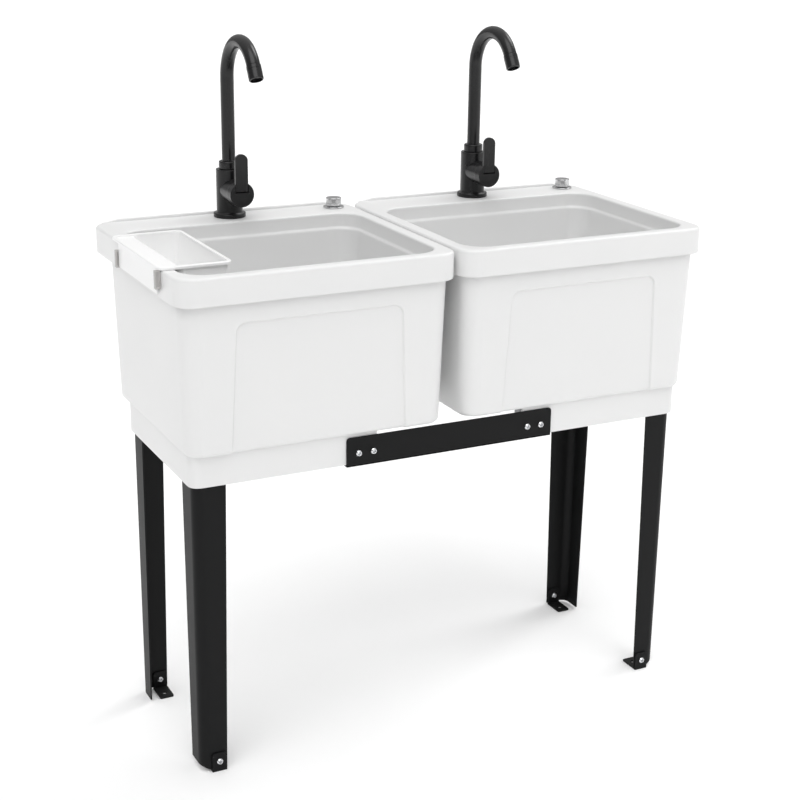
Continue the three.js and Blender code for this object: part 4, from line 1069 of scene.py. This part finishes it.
floorLook = {"reach": 40.0, "colour": (0.98, 0.98, 0.98, 1), "roughness": 0.8}
reach = floorLook["reach"]
floorMesh = bpy.data.meshes.new("floor")
floorMesh.from_pydata(rectangle(-reach, reach, -reach, reach), [], [(0, 1, 2, 3)])
floor = addObject("floor", floorMesh)
floorMaterial, _, floorShader = newMaterial("paleFloor")
floorShader.inputs["Base Color"].default_value = floorLook["colour"]
floorShader.inputs["Roughness"].default_value = floorLook["roughness"]
floorMesh.materials.append(floorMaterial)

# A white studio, brighter overhead and darker behind the viewer, with two dark flags for the gloss.
studio = {
    "bright": 0.31, "lift": 0.62, "drop": 0.19, "viewer": (-0.45, -0.89, 0.1),
    "flags": [(-0.96, -0.25, 0.12), (0.31, -0.94, 0.12)], "flagPower": 22.0, "flagDepth": 0.85,
}
world = bpy.data.worlds.new("studio")
world.use_nodes = True
sky = world.node_tree
heading = sky.nodes.new("ShaderNodeTexCoord").outputs["Generated"]


# One straight along a direction, falling to none at right angles to it.
def skyToward(direction):
    along = sky.nodes.new("ShaderNodeVectorMath")
    along.operation = "DOT_PRODUCT"
    along.inputs[1].default_value = direction
    sky.links.new(heading, along.inputs[0])
    return mathNode(sky, "MAXIMUM", along.outputs["Value"], 0.0)


backdrop = sky.nodes["Background"]
backdrop.inputs["Color"].default_value = (1, 1, 1, 1)
overhead = mathNode(sky, "MULTIPLY", skyToward((0, 0, 1)), studio["lift"])
behindViewer = mathNode(sky, "MULTIPLY", skyToward(studio["viewer"]), studio["drop"])
glow = mathNode(sky, "ADD", overhead, studio["bright"])
glow = mathNode(sky, "SUBTRACT", glow, behindViewer)
for flag in studio["flags"]:
    spot = mathNode(sky, "POWER", skyToward(flag), studio["flagPower"])
    shaded = mathNode(sky, "MULTIPLY", spot, studio["flagDepth"])
    glow = mathNode(sky, "MULTIPLY", glow, mathNode(sky, "SUBTRACT", 1.0, shaded))
# The backdrop stays white where it is seen directly.
sight = sky.nodes.new("ShaderNodeLightPath")
glow = mathNode(sky, "MAXIMUM", glow, sight.outputs["Is Camera Ray"])
sky.links.new(glow, backdrop.inputs["Strength"])
scene.world = world
scene.view_settings.view_transform = "Standard"

# Spread is a sun's angle in degrees or an area lamp's size in metres.
lights = {
    "keySun": {
        "kind": "SUN", "place": (2.0, 0.5, 2.1), "target": (0, 0, 0), "strength": 0.8, "spread": 26.0,
    },
    "highFront": {
        "kind": "SUN", "place": (-0.7, -1.25, 2.3), "target": (0, 0, 0), "strength": 1.5, "spread": 56.0,
    },
    "fillRight": {
        "kind": "AREA", "place": (2.6, -2.4, 1.5), "target": (0, 0, 0.6), "strength": 8.0, "spread": 2.0,
    },
}
for name, light in lights.items():
    data = bpy.data.lights.new(name, light["kind"])
    data.energy = light["strength"]
    if light["kind"] == "SUN":
        data.angle = math.radians(light["spread"])
    else:
        data.size = light["spread"]
    lamp = addObject(name, data)
    lamp.location = light["place"]
    aim = Vector(light["target"]) - Vector(light["place"])
    lamp.rotation_euler = aim.to_track_quat("-Z", "Y").to_euler()

# Yaw turns from +Y towards +X, pitch looks down, and roll tips the picture; all are in degrees.
cameraSetup = {
    "place": (-1.2163, -2.4272, 1.4423), "yaw": 26.75, "pitch": 18.31, "roll": 0.78,
    "lens": 71.29, "sensorWidth": 36, "farthest": 200,
}
yaw, pitch, roll = (math.radians(cameraSetup[key]) for key in ("yaw", "pitch", "roll"))
forward = Vector((math.sin(yaw) * math.cos(pitch), math.cos(yaw) * math.cos(pitch), -math.sin(pitch)))
levelRight = Vector((math.cos(yaw), -math.sin(yaw), 0))
levelUp = levelRight.cross(forward)
cameraRight = levelRight * math.cos(roll) + levelUp * math.sin(roll)
cameraUp = levelUp * math.cos(roll) - levelRight * math.sin(roll)
cameraData = bpy.data.cameras.new("photoCamera")
cameraData.lens = cameraSetup["lens"]
cameraData.sensor_width = cameraSetup["sensorWidth"]
cameraData.clip_end = cameraSetup["farthest"]
camera = addObject("photoCamera", cameraData)
axes = Matrix((cameraRight, cameraUp, -forward)).transposed().to_4x4()
camera.matrix_world = Matrix.Translation(cameraSetup["place"]) @ axes
scene.camera = camera
print("stage: camera set")
